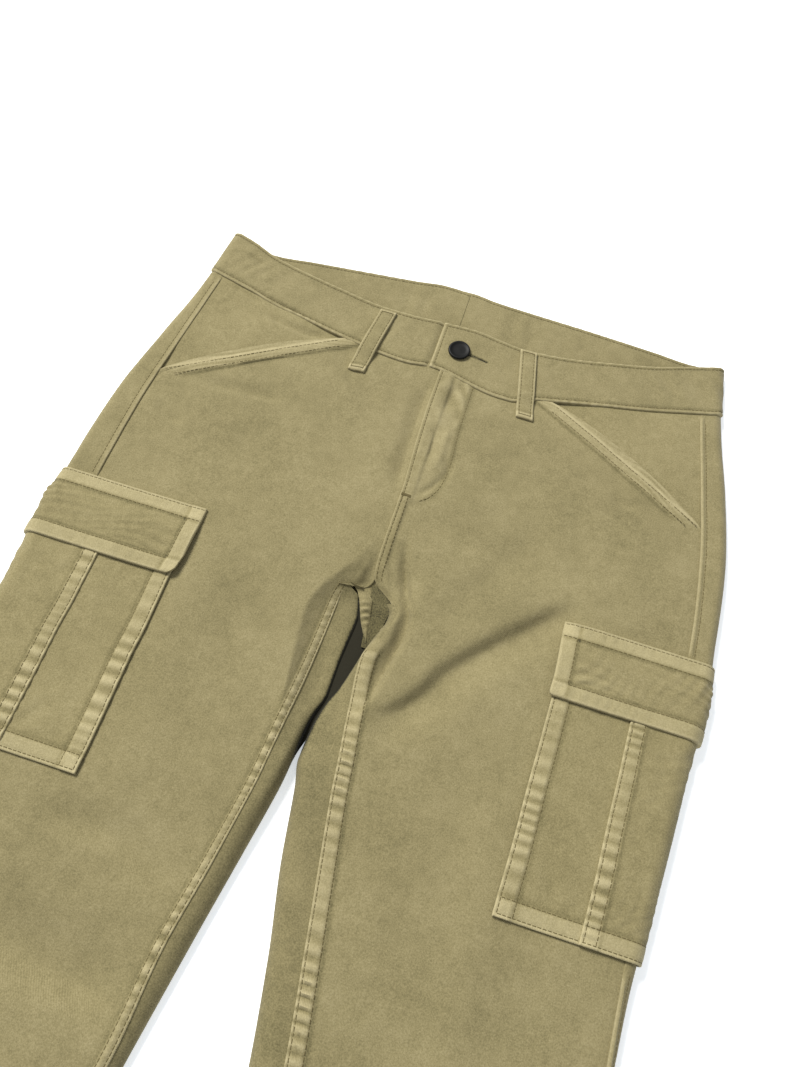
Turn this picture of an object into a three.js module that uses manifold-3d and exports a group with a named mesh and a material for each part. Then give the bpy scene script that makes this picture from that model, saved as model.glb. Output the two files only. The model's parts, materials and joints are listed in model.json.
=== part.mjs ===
// Cargo trousers laid flat on their back, in millimetres. The table is z = 0, +y runs up
// the garment towards the waist and +x towards the wearer's left leg. `down` is a distance
// below the corners of the waist, and `out` a distance from the centre line towards the
// outside of a leg. Each piece of cloth is a closed wall on the outer surface of the trousers.
import * as THREE from 'three';
import { mergeVertices } from 'three/addons/utils/BufferGeometryUtils.js';
import Module from 'manifold-3d';

const manifold = await Module();
manifold.setup();

// ---- Driving dimensions ----
const CLOTH = 1.5; // wall of one piece of cloth
const GAP = 0.3; // air between two pieces
const HALF_GAP = GAP / 2;
const FLOOR_RADIUS = 3.2; // a side fold turns under with this radius
const FOLD_ROUND = 8; // widest rounding of a side fold's upper half
const ARC_STRETCH = 1.775; // its length along the cloth for each mm of that rounding
const UNDER_ARC = FLOOR_RADIUS * Math.PI / 2;
const LENGTH = 1000; // waist corner to hem
const CROTCH = 275; // the legs part here
const CROTCH_RISE = 12; // the four crotch seams meet this far above it
const CENTRE = -3; // the centre seams lie a little towards the wearer's right
const BAND_DEPTH = 43; // waistband at the back
const SLANT_HEAD = 84; // it starts this far out, under the waistband
const SLANT_FOOT = 155; // the slant pocket meets the side seam here

// Sections down each leg: distances from the centre line, and the height of the upper layer.
const SECTION_COLUMNS = ['down', 'outer', 'seam', 'inseam', 'inner', 'loft'];
const SECTIONS = {
  left: [
    [0, 203, 187, -3, -2.85, 11], [60, 210, 192, -3, -2.85, 12], [120, 222, 201, -3, -2.85, 14],
    [180, 230, 209, -3, -2.85, 15], [250, 231, 212, -3, -2.85, 15], [275, 229, 212, -3, -2.85, 15],
    [290, 228, 212, 1, -2, 15], [307, 226, 211, 7, 4, 15], [340, 223, 210, 9, 2, 15],
    [365, 221, 209, 14, -1, 15], [400, 218, 208, 18, -4, 15], [450, 214, 206, 26, 3, 14],
    [500, 212, 206, 34, 14, 13], [570, 210, 204, 45, 25, 12], [700, 207, 201, 51, 34, 11],
    [850, 204, 198, 55, 42, 9], [1000, 201, 195, 58, 46, 8],
  ],
  right: [
    [0, 200, 186, 3, 3.15, 11], [60, 206, 193, 3, 3.15, 12], [120, 217, 198, 3, 3.15, 14],
    [180, 227, 203, 3, 3.15, 15], [250, 231, 205, 3, 3.15, 15], [275, 231, 205, 3, 3.15, 15],
    [290, 230, 205, 18, 5, 15], [307, 230, 206, 20, 4, 15], [340, 229, 206, 21, 4.5, 15],
    [365, 229, 207, 22, 5, 15], [400, 229, 207, 24, 7.5, 15], [450, 230, 208, 32, 20, 14],
    [500, 232, 211, 40, 29, 13], [570, 235, 214, 47, 41, 12], [700, 238, 218, 69, 63, 11],
    [850, 242, 223, 85, 79, 9], [1000, 246, 228, 97, 91, 8],
  ],
};

// Room under the back for what is sewn to its outside: the waist's belt loops, then the
// pocket and its flap, which lie under the outer part of the thigh only.
const LOOP_ROOM = [[-20, 2.4], [62, 2.4], [90, 0]];
const POCKET_ROOM = [
  [238, 0], [253, 2.1], [262, 3], [271, 3.9], [307, 3.9], [318, 2], [441, 2], [456, 0],
];
const POCKET_ROOM_WIDTH = 56;
const ROOM_SLOPE = 15;

// Cargo pockets, round the side fold. A place on the fold line is 0, on the upper side it
// counts up from there along the cloth and on the underside it counts down.
const POCKET = { top: 275, foot: 440, front: 79, middle: 28, turn: -8, rear: -55 };
const FLAP = { top: 253, foot: 306, front: 82, rear: -58, lap: 2.1 };

// Largest folds of the upper layer: soft troughs from one place to another.
const FOLD_COLUMNS = ['x', 'down', 'toX', 'toDown', 'depth', 'width'];
const FOLDS = [
  [102, 264, 72, 302, 4.5, 12],
  [72, 302, 26, 370, 4, 12],
  [-12, 238, -37, 290, 3, 8],
  [-37, 290, -26, 395, 2.5, 9],
  [12, 232, 30, 284, 3, 8],
  [30, 284, 23, 340, 2, 8],
];

// Rows that every piece of a leg shares, so that a piece lies on another without touching.
const HIP_ROWS = [50, 62, 76, 90, 120, 155];
const SEAT_ROWS = [155, 180, 210, 238, 253, 262, 271, 275];
const LEG_ROWS = [275, 290, 307, 318, 345, 370, 400, 425, 441, 456, 500, 570, 700, 850, LENGTH];
const POCKET_ROWS = [POCKET.top, 290, 307, 318, 345, 370, 400, 425, POCKET.foot];
const FLAP_ROWS = [FLAP.top, 262, 271, 275, 290, FLAP.foot];

// ---- Curves ----
const named = (columns, rows) => rows.map(
  (row) => Object.fromEntries(columns.map((name, i) => [name, row[i]])));
const clamp = THREE.MathUtils.clamp;
const lerp = THREE.MathUtils.lerp;
const ease = THREE.MathUtils.smoothstep;

// A smooth curve through the rows of a section table: cubic, with each slope taken from
// the two neighbouring rows, and level where the values turn or stand still.
function sectionCurve(rows, column) {
  const at = rows.map((row) => row.down);
  const value = rows.map((row) => row[column]);
  const last = at.length - 1;
  const rate = (i, j) => (value[j] - value[i]) / (at[j] - at[i]);
  const slope = at.map((_, i) => {
    if (i === 0) return rate(0, 1);
    if (i === last) return rate(last - 1, last);
    return rate(i - 1, i) * rate(i, i + 1) > 0 ? rate(i - 1, i + 1) : 0;
  });
  return (down) => {
    if (down <= at[0]) return value[0];
    if (down >= at[last]) return value[last];
    const i = at.findIndex((place) => place > down) - 1;
    const span = at[i + 1] - at[i];
    const q = (down - at[i]) / span;
    const rest = 1 - q;
    return rest * rest * (1 + 2 * q) * value[i] + q * rest * rest * span * slope[i]
      + q * q * (3 - 2 * q) * value[i + 1] - q * q * rest * span * slope[i + 1];
  };
}

// Straight lines between [place, value] pairs.
function stepped(table, place) {
  if (place <= table[0][0]) return table[0][1];
  const i = table.findIndex((row) => row[0] > place);
  if (i < 0) return table[table.length - 1][1];
  const [from, to] = [table[i - 1], table[i]];
  return lerp(from[1], to[1], (place - from[0]) / (to[0] - from[0]));
}

// A quarter circle rising from 0 to 1.
const quarter = (q) => (q < 1 ? Math.sqrt(1 - (1 - q) ** 2) : 1);

const folds = named(FOLD_COLUMNS, FOLDS);

function foldDepth(x, down) {
  let depth = 0;
  for (const fold of folds) {
    const alongX = fold.toX - fold.x;
    const alongDown = fold.toDown - fold.down;
    const reach = ((x - fold.x) * alongX + (down - fold.down) * alongDown)
      / (alongX ** 2 + alongDown ** 2);
    const q = clamp(reach, 0, 1);
    const away = Math.hypot(x - fold.x - q * alongX, down - fold.down - q * alongDown);
    depth = Math.max(depth, fold.depth * Math.exp(-((away / fold.width) ** 2)));
  }
  return depth;
}

// ---- The outer surface of one side of the trousers ----
// sign is +1 on the wearer's left and -1 on the right.
function makeSide(name, sign) {
  const rows = named(SECTION_COLUMNS, SECTIONS[name]);
  const curve = (column) => sectionCurve(rows, column);
  const [outer, seam, inseam, inner, loft] = SECTION_COLUMNS.slice(1).map(curve);

  const foldRound = (down) => Math.min(FOLD_ROUND, 0.8 * (outer(down) - seam(down)));
  const foldLength = (down) => ARC_STRETCH * foldRound(down);
  const fromInner = (out, down) => Math.hypot(
    out - inner(down), 0.14 * Math.max(0, CROTCH - down));
  const innerRound = (down) => 14 + 16 * Math.exp(-(((down - CROTCH) / 40) ** 2));

  function room(inset, down) {
    const pocket = stepped(POCKET_ROOM, down);
    const fade = clamp((POCKET_ROOM_WIDTH + ROOM_SLOPE - inset) / ROOM_SLOPE, 0, 1);
    return stepped(LOOP_ROOM, down) + pocket * fade;
  }

  function top(out, down) {
    const inset = outer(down) - out;
    const base = FLOOR_RADIUS + room(inset, down);
    const rise = quarter(inset / foldRound(down))
      * quarter(fromInner(out, down) / innerRound(down));
    const body = loft(down) - foldDepth(sign * out, down);
    return base + (body - base) * rise;
  }

  function under(out, down) {
    const inset = outer(down) - out;
    const rise = quarter(inset / FLOOR_RADIUS)
      * quarter(fromInner(out, down) / FLOOR_RADIUS);
    return room(inset, down) + FLOOR_RADIUS * (1 - rise);
  }

  // How far in from the outer fold a place on the cloth lies, seen from above.
  function insetAt(place, down) {
    const above = place >= 0;
    const round = above ? foldRound(down) : FLOOR_RADIUS;
    const arc = above ? foldLength(down) : UNDER_ARC;
    const along = Math.abs(place);
    if (along < arc) return round * (1 - Math.cos(along / arc * Math.PI / 2));
    return round + along - arc;
  }

  function seamPlace(down) {
    return foldLength(down) + outer(down) - seam(down) - foldRound(down);
  }

  const point = (out, down, z) => new THREE.Vector3(sign * out, -down, z);

  const onTop = (out, down) => point(out, down, top(out, down));
  const onUnder = (out, down) => point(out, down, under(out, down));

  // A point of the cloth round the outer fold, by its place along the cloth.
  function ring(place, down) {
    const out = outer(down) - insetAt(place, down);
    return place >= 0 ? onTop(out, down) : onUnder(out, down);
  }

  return { name, sign, outer, seam, inseam, inner, foldLength, insetAt, seamPlace,
    onTop, onUnder, ring };
}

// ---- The waist ----
const frontTop = (out) => 45 - 36 * (out / 200) ** 2;
const frontBandFoot = (out) => 89 - 33 * Math.abs(out / 200) ** 2.2;
const backTop = (out) => 6 * (out / 200) ** 2;
const backBandFoot = (out) => backTop(out) + BAND_DEPTH;

// The waistband's upper edge (share 0) or foot (share 1) at a place round the outer fold.
function bandDown(side, place, inset, share) {
  const front = ease(place, -12, 16);
  let down = 60;
  for (let round = 0; round < 4; round += 1) {
    const out = side.outer(down) - inset;
    const upper = lerp(backTop(out), frontTop(out), front);
    const foot = lerp(backBandFoot(out), frontBandFoot(out), front);
    down = lerp(upper, foot, share);
  }
  return down;
}

// ---- Walls ----
// Surfaces are functions of two numbers. The outward direction is their cross product,
// times `outward`, taken from points a little to each side.
function sample(surface, outward, u, v) {
  const STEP_U = 1e-3;
  const STEP_V = 0.05;
  const at = surface(u, v);
  const alongU = surface(u + STEP_U, v).sub(surface(u - STEP_U, v));
  const alongV = surface(u, v + STEP_V).sub(surface(u, v - STEP_V));
  const normal = alongU.cross(alongV).normalize().multiplyScalar(outward);
  return { at, normal };
}

// Closes grids of samples into one wall: an outer face `lift` above the surface, an inner
// face CLOTH lower, and a rim along every open edge. lift and thick may vary by sample.
function wallGeometry(grids, lift = 0, thick = CLOTH) {
  const outerPoints = [];
  const innerPoints = [];
  const faces = [];
  const seen = new Map();
  const lookup = (s) => {
    const key = s.at.toArray().map((c) => c.toFixed(3)).join(' ');
    if (!seen.has(key)) {
      const out = typeof lift === 'function' ? lift(s) : lift;
      seen.set(key, outerPoints.length);
      outerPoints.push(s.at.clone().addScaledVector(s.normal, out));
      innerPoints.push(s.at.clone().addScaledVector(s.normal, out - thick));
    }
    return seen.get(key);
  };
  for (const grid of grids) {
    for (let i = 0; i + 1 < grid.length; i += 1) {
      for (let j = 0; j + 1 < grid[i].length; j += 1) {
        const corners = [grid[i][j], grid[i][j + 1], grid[i + 1][j + 1], grid[i + 1][j]];
        const [a, b, c, d] = corners.map(lookup);
        faces.push([a, b, c], [a, c, d]);
      }
    }
  }
  const solid = faces.filter(([a, b, c]) => a !== b && b !== c && a !== c);
  const edges = new Set(solid.flatMap(([a, b, c]) => [`${a} ${b}`, `${b} ${c}`, `${c} ${a}`]));
  const count = outerPoints.length;
  const triangles = [...solid];
  for (const [a, b, c] of solid) triangles.push([a + count, c + count, b + count]);
  for (const edge of edges) {
    const [a, b] = edge.split(' ').map(Number);
    if (!edges.has(`${b} ${a}`)) {
      triangles.push([b, a, a + count], [b, a + count, b + count]);
    }
  }
  return closedGeometry([...outerPoints, ...innerPoints], triangles);
}

function closedGeometry(points, triangles) {
  let volume = 0;
  for (const [a, b, c] of triangles) {
    volume += points[a].dot(points[b].clone().cross(points[c]));
  }
  const index = volume > 0 ? triangles.flat() : triangles.flatMap(([a, b, c]) => [a, c, b]);
  const geometry = new THREE.BufferGeometry();
  geometry.setAttribute('position', new THREE.Float32BufferAttribute(
    points.flatMap((p) => p.toArray()), 3));
  geometry.setIndex(index);
  return geometry;
}

// ---- Pieces ----
const cloth = new THREE.MeshStandardMaterial({ color: 0x9a8f68, roughness: 0.95, metalness: 0 });
const pocketCloth = new THREE.MeshStandardMaterial({ color: 0xa3986f, roughness: 0.95, metalness: 0 });
const blackMetal = new THREE.MeshStandardMaterial({ color: 0x1c1b19, roughness: 0.55, metalness: 0.4 });
const garment = new THREE.Group();

function add(name, geometry, material = cloth) {
  const mesh = new THREE.Mesh(geometry, material);
  mesh.name = name;
  garment.add(mesh);
  return mesh;
}

// Towards the crotch the rows bend up, because the seams meet above where the legs part.
function rowRise(row) {
  if (row > CROTCH) return CROTCH_RISE * Math.exp(-(row - CROTCH) / 30);
  return CROTCH_RISE * clamp((row - SLANT_FOOT) / (CROTCH - SLANT_FOOT), 0, 1);
}

// Columns across a front of this width: close together along the inner leg.
function frontColumns(width) {
  const scale = Math.min(1, width / 190);
  const fromInside = [HALF_GAP, 8 * scale, 18 * scale, 32 * scale, 50 * scale, 74 * scale];
  const fromOutside = [94 * scale, 79 * scale, 54 * scale, 28 * scale, HALF_GAP];
  return [...fromInside, ...fromOutside.map((inset) => width - inset)].map((c) => c / width);
}

function frontPiece(side) {
  const { seam, inseam, sign, onTop } = side;
  // Above the foot of the slant, q runs from the waistband to the slant's foot.
  const hip = (u, q) => {
    const centre = inseam(0);
    const endOut = lerp(SLANT_HEAD, seam(SLANT_FOOT), q);
    const endDown = lerp(frontBandFoot(SLANT_HEAD), SLANT_FOOT, q);
    const out = lerp(centre, endOut, u);
    const bow = frontBandFoot(out) - lerp(frontBandFoot(centre), frontBandFoot(SLANT_HEAD), u);
    const down = lerp(lerp(frontBandFoot(centre), SLANT_FOOT, q), endDown, u)
      + bow * (1 - q) + GAP * (1 - q);
    return onTop(out, down);
  };
  const leg = (u, row) => {
    const down = row - rowRise(row) * (1 - u) ** 2;
    return onTop(lerp(inseam(row), seam(down), u), down);
  };
  const hipWidth = (q) => lerp(SLANT_HEAD, seam(SLANT_FOOT), q) - inseam(0);
  const hipGrid = [0, 0.2, 0.45, 0.7, 1].map((q) => frontColumns(hipWidth(q)).map(
    (u) => sample((a, b) => hip(a, b / 100), -sign, u, q * 100)));
  const legRows = [...SEAT_ROWS, ...LEG_ROWS.slice(1)];
  const legGrid = legRows.map((row) => frontColumns(seam(row) - inseam(row)).map(
    (u) => sample(leg, -sign, u, row)));
  hipGrid[hipGrid.length - 1] = legGrid[0];
  add(`front_${side.name}`, wallGeometry([hipGrid, legGrid]));
}

// A back runs from the side seam round the outer fold and under the leg to the seat seam,
// and below the crotch round the inner fold to the inseam.
function backPiece(side) {
  const { inner, inseam, outer, sign, seamPlace, foldLength, insetAt } = side;
  const underLength = (row) => outer(row) - inner(row) - 2 * FLOOR_RADIUS + 2 * UNDER_ARC;

  function downAt(place, inset, row) {
    const foot = bandDown(side, place, inset, 1) + GAP;
    return row + (foot - HIP_ROWS[0]) * (1 - ease(row, HIP_ROWS[0], SLANT_FOOT));
  }

  // u is 0 at the side seam, 1 on the outer fold, 2 on the inner fold, 3 at the inseam.
  const surface = (u, row) => {
    if (u <= 1) {
      const place = seamPlace(row) * (1 - u);
      const down = downAt(place, insetAt(place, row), row);
      return side.ring(seamPlace(down) * (1 - u), down);
    }
    const length = underLength(row);
    const along = Math.min(u - 1, 1) * length;
    const nearOuter = along < length / 2;
    const inset = insetAt(nearOuter ? -along : along - length, row);
    const across = nearOuter ? inset : outer(row) - inner(row) - inset;
    const down = downAt(-along, across, row);
    if (u <= 2 || row < CROTCH) {
      return side.onUnder(nearOuter ? outer(down) - inset : inner(down) + inset, down);
    }
    const w = u - 2;
    const leg = Math.max(row, CROTCH + 5 * w);
    const width = inseam(leg) - GAP - inner(leg);
    const out = inner(leg) + width * (1 - Math.cos(w * Math.PI / 2));
    return side.onTop(out, leg - rowRise(leg) * w);
  };

  function columns(row, wraps) {
    const place = seamPlace(row);
    const length = underLength(row);
    const fold = foldLength(row);
    const above = [place - HALF_GAP, fold, fold * 2 / 3, fold / 3, 0].map((p) => 1 - p / place);
    const flat = [-POCKET.turn + 4, POCKET_ROOM_WIDTH + 2, POCKET_ROOM_WIDTH + ROOM_SLOPE + 2]
      .map((p) => p / length);
    const rest = [0.3, 0.65].map((q) => lerp(flat[2], 1 - UNDER_ARC / length, q));
    const innerFold = [UNDER_ARC, UNDER_ARC / 2, 0].map((p) => 1 - p / length);
    const below = [UNDER_ARC / 2 / length, UNDER_ARC / length, ...flat, ...rest, ...innerFold];
    return [...above, ...below.map((q) => 1 + q), ...(wraps ? [2.3, 2.6, 3] : [])];
  }

  const grid = (rows, wraps) => rows.map((row) => columns(row, wraps).map(
    (u) => sample(surface, -sign, u, row)));
  const hips = grid([...HIP_ROWS, ...SEAT_ROWS.slice(1)], false);
  const legs = grid(LEG_ROWS, true);
  add(`back_${side.name}`, wallGeometry([hips, legs]));
}

// The facing fills the corner between waistband, side seam and slant, and runs on under
// the front.
function facingPiece(side) {
  const { seam, sign, onTop } = side;
  const TUCK = 14;
  const SUNK = CLOTH + 3 * GAP;
  const head = new THREE.Vector2(SLANT_HEAD, frontBandFoot(SLANT_HEAD));
  const foot = new THREE.Vector2(seam(SLANT_FOOT), SLANT_FOOT);
  const slant = foot.clone().sub(head);
  const away = new THREE.Vector2(slant.y, -slant.x).normalize();
  const cornerOut = seam(60) - GAP;
  const corner = new THREE.Vector2(cornerOut, frontBandFoot(cornerOut) + 2 * GAP);
  const CORNER_SHARE = 0.62;
  const LIP = 20; // of 100 parts from the tucked edge, those under the front
  const SLANT_SHARE = 0.96; // of the slant's length, so that the foot stays clear of the seam
  const surface = (u, v) => {
    const onSlant = head.clone().addScaledVector(slant, lerp(0.01, SLANT_SHARE, u));
    const tucked = onSlant.clone().addScaledVector(away, -TUCK * (1 - 0.5 * u));
    const far = new THREE.Vector2();
    if (u < CORNER_SHARE) {
      far.lerpVectors(head, corner, u / CORNER_SHARE);
      far.y = frontBandFoot(far.x) + 2 * GAP;
    } else {
      const q = (u - CORNER_SHARE) / (1 - CORNER_SHARE);
      far.y = lerp(corner.y, lerp(head.y, foot.y, SLANT_SHARE), q);
      far.x = seam(far.y) - GAP;
    }
    const place = v < LIP ? tucked.clone().lerp(onSlant, v / LIP)
      : onSlant.clone().lerp(far, (v - LIP) / (100 - LIP));
    const beyond = place.clone().sub(head).dot(away);
    const z = SUNK * (1 - ease(beyond, 1, 24));
    const at = onTop(place.x, place.y);
    return at.setZ(at.z - z);
  };
  const across = [0, 0.1, 0.2, 0.3, 0.4, 0.5, CORNER_SHARE, 0.75, 0.88, 1];
  const grid = [0, LIP + 2, 35, 60, 100].map((v) => across.map((u) => sample(surface, sign, u, v)));
  add(`pocket_facing_${side.name}`, wallGeometry([grid]));
}

// A waistband half runs from the front closure round the side fold to the centre back. The
// left half laps over the right one, whose end is sunk under it.
const OVERLAP = 11;
const UNDERLAP_OUT = -22;
const BUTTON = { x: 4, down: 65, radius: 8.5, height: 3, shank: 1.1 };
const BUTTONHOLE = { from: 2.2, to: 26, width: 3 };

function bandGeometry(side) {
  const { sign, outer, inner, foldLength } = side;
  const laps = side.name === 'left';
  const endOut = laps ? CENTRE - OVERLAP : UNDERLAP_OUT;
  const SUNK = CLOTH + 3 * GAP;
  const NEAR = 60;
  const fold = foldLength(NEAR);
  const frontLength = outer(NEAR) - endOut - FOLD_ROUND + fold;
  const backLength = outer(NEAR) - inner(NEAR) - FLOOR_RADIUS + UNDER_ARC;
  const surface = (place, v) => {
    const inset = side.insetAt(place, NEAR);
    const down = bandDown(side, place, inset, v / 100);
    const end = place > 0 ? endOut : inner(NEAR);
    const out = outer(down) - inset * (outer(down) - end) / (outer(NEAR) - end);
    if (place < 0) return side.onUnder(out, down);
    const at = side.onTop(out, down);
    return at.setZ(at.z - (laps ? 0 : SUNK * (1 - ease(out, 18, 29))));
  };
  const front = [0, 6, 12, 22, 34, 49, 65, 82, 100, 118, 136, 154, 172, 190].map(
    (p) => frontLength - p);
  const turn = [1, 2 / 3, 1 / 3, 0].map((q) => q * fold);
  const back = [UNDER_ARC / 2, UNDER_ARC, 12, 40, 80, 120, 165, backLength].map((p) => -p);
  const grid = [0, 33, 67, 100].map((v) => [...front, ...turn, ...back].map(
    (place) => sample(surface, sign, place, v)));
  return wallGeometry([grid]);
}

function toSolid(geometry) {
  const mesh = new manifold.Mesh({
    numProp: 3,
    vertProperties: new Float32Array(geometry.attributes.position.array),
    triVerts: new Uint32Array(geometry.index.array),
  });
  return new manifold.Manifold(mesh);
}

function fromSolid(solid) {
  const { vertProperties, triVerts } = solid.getMesh();
  const geometry = new THREE.BufferGeometry();
  geometry.setAttribute('position', new THREE.BufferAttribute(vertProperties, 3));
  geometry.setIndex(new THREE.BufferAttribute(triVerts, 1));
  return geometry;
}

function waistbands() {
  add('waistband_right', bandGeometry(sides.right));
  const { from, to, width } = BUTTONHOLE;
  const { down } = BUTTON;
  const slot = new THREE.BoxGeometry(to - from, width, 12);
  slot.translate((from + to) / 2, -down, sides.left.onTop(from, down).z - CLOTH / 2);
  slot.deleteAttribute('uv');
  slot.deleteAttribute('normal');
  const cutter = toSolid(mergeVertices(slot));
  add('waistband_left', fromSolid(toSolid(bandGeometry(sides.left)).subtract(cutter)));
}

// The button's cap lies on the left half, and its shank goes through the buttonhole.
function button() {
  const { x, down, radius, height, shank } = BUTTON;
  const level = sides.left.onTop(x, down).z;
  const seat = GAP + 0.1;
  const profile = [
    [0, GAP - CLOTH - GAP], [shank, GAP - CLOTH - GAP], [shank, seat], [radius - 1, seat],
    [radius, seat + 0.8], [radius, height - 0.6], [radius - 0.8, height],
    [radius - 2.2, height], [radius - 3, height - 0.8], [0, height - 0.8],
  ].map(([r, z]) => new THREE.Vector2(r, z));
  const shape = new THREE.LatheGeometry(profile, 20);
  shape.rotateX(Math.PI / 2);
  shape.translate(x, -down, level);
  shape.deleteAttribute('uv');
  shape.deleteAttribute('normal');
  add('button', mergeVertices(shape), blackMetal);
}

// A strip that lies on the surface and stands a little clear of it along its middle.
function strip(name, surface, outward, width, stand, thick) {
  const along = [0, 8, 20, 35, 50, 65, 80, 92, 100];
  const grid = along.map((v) => [-width / 2, width / 2].map((u) => {
    const at = sample(surface, outward, u, v);
    return { ...at, stand: GAP + thick + stand * Math.sin(v / 100 * Math.PI) };
  }));
  add(name, wallGeometry([grid], (s) => s.stand, thick));
}

function beltLoops() {
  const LOOP = { width: 13, thick: 1.8, from: 48, to: 108, backFrom: 2, backTo: 58 };
  const FRONT = { left: [55, 66], right: [58, 65] };
  const SIDE_OUT = 140;
  for (const side of Object.values(sides)) {
    const [top, foot] = FRONT[side.name];
    const front = (u, v) => side.onTop(
      lerp(top, foot, v / 100) + u, lerp(LOOP.from, LOOP.to, v / 100));
    strip(`belt_loop_front_${side.name}`, front, -side.sign, LOOP.width, 1.4, LOOP.thick);
    const back = (u, v) => side.onUnder(SIDE_OUT + u, lerp(LOOP.backFrom, LOOP.backTo, v / 100));
    strip(`belt_loop_side_${side.name}`, back, side.sign, LOOP.width, 0.3, LOOP.thick);
  }
  const centre = (u, v) => sides.left.onUnder(40, lerp(LOOP.backFrom, LOOP.backTo, v / 100))
    .setX(CENTRE + u);
  strip('belt_loop_centre_back', centre, 1, LOOP.width, 0.3, LOOP.thick);
}

// The fly's placket lies behind both fronts.
function flyPlacket() {
  const PLACKET = { from: -24, to: 34, head: 94, foot: 208 };
  const surface = (u, v) => {
    const x = lerp(PLACKET.from, PLACKET.to, u);
    const side = x > CENTRE ? sides.left : sides.right;
    return side.onTop(side.sign * x, v);
  };
  const downs = [PLACKET.head, 110, 130, 155, 180, PLACKET.foot];
  const grid = downs.map((v) => [0, 0.2, 0.36, 0.5, 0.75, 1].map(
    (u) => sample(surface, -1, u, v)));
  add('fly_placket', wallGeometry([grid], -CLOTH - GAP - 0.1, 1.2));
}

// A cargo pocket's three panels and its flap, which turn with the side fold.
function cargoPocket(side) {
  const { sign, foldLength, seamPlace } = side;
  const surface = side.ring;
  const turn = (row) => [1, 2 / 3, 1 / 3, 0].map((q) => q * foldLength(row));
  const under = [-UNDER_ARC / 2, -UNDER_ARC];
  const front = (row, inset) => seamPlace(row) + inset;
  const panels = {
    cargo_inner: (row) => [POCKET.front, 66, 53, 40, POCKET.middle + GAP].map(
      (p) => front(row, p)),
    cargo_centre: (row) => [front(row, POCKET.middle), front(row, 12), ...turn(row), ...under,
      POCKET.turn],
    cargo_outer: () => [POCKET.turn - GAP, -22, -38, POCKET.rear],
  };
  for (const [name, columns] of Object.entries(panels)) {
    const grid = POCKET_ROWS.map((row) => columns(row).map(
      (place) => sample(surface, sign, place, row)));
    add(`${name}_${side.name}`, wallGeometry([grid], CLOTH + GAP), pocketCloth);
  }
  const flapColumns = (row) => [...[FLAP.front, 66, 53, 40, 12].map((p) => front(row, p)),
    ...turn(row), ...under, POCKET.turn, -22, -38, FLAP.rear];
  const FLAP_CLOTH = 1.6;
  const grid = FLAP_ROWS.map((row) => flapColumns(row).map((place) => ({
    ...sample(surface, sign, place, row),
    stand: GAP + FLAP_CLOTH + Math.min(FLAP.lap, stepped(POCKET_ROOM, row)) - FLAP.lap
      + Math.max(0, Math.min(stepped(POCKET_ROOM, row), 3.9) - 2.1),
  })));
  add(`cargo_flap_${side.name}`, wallGeometry([grid], (s) => s.stand, FLAP_CLOTH), pocketCloth);
}

const sides = { left: makeSide('left', 1), right: makeSide('right', -1) };
for (const side of Object.values(sides)) {
  frontPiece(side);
  backPiece(side);
  facingPiece(side);
  cargoPocket(side);
}
waistbands();
flyPlacket();
beltLoops();
button();

// The origin is the middle of the box, on the table.
const box = new THREE.Box3().setFromObject(garment);
const middle = box.getCenter(new THREE.Vector3());
garment.position.set(-middle.x, -middle.y, -box.min.z);

export default garment;
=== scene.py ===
import json

import bpy
import numpy as np
from mathutils import Matrix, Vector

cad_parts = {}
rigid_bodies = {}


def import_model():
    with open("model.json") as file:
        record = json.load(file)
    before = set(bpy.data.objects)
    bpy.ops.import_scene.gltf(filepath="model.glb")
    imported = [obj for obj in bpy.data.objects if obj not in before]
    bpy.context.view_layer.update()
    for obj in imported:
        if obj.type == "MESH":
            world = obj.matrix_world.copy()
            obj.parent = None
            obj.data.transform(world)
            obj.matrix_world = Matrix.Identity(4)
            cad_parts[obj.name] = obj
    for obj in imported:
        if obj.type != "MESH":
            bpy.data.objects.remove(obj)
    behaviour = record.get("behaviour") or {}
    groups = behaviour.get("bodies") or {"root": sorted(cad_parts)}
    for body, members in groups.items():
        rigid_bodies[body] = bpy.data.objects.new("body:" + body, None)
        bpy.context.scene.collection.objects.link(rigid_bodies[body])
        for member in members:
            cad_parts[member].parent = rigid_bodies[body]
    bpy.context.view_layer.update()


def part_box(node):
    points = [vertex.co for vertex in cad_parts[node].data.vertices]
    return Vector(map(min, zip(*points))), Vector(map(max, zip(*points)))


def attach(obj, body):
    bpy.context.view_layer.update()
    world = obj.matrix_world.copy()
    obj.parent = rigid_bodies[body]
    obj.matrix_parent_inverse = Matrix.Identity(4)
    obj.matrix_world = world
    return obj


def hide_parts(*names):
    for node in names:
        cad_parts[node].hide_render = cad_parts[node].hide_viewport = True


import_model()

# ---- Sizes that the CAD part shares ----
FLOOR_RADIUS = 3.2
FOLD_ROUND = 8.0
ARC_STRETCH = 1.775
UNDER_ARC = FLOOR_RADIUS * np.pi / 2
CROTCH = 275.0
CENTRE = -3.0
BAND_DEPTH = 43.0
SLANT_HEAD = 84.0
SLANT_FOOT = 155.0
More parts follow.
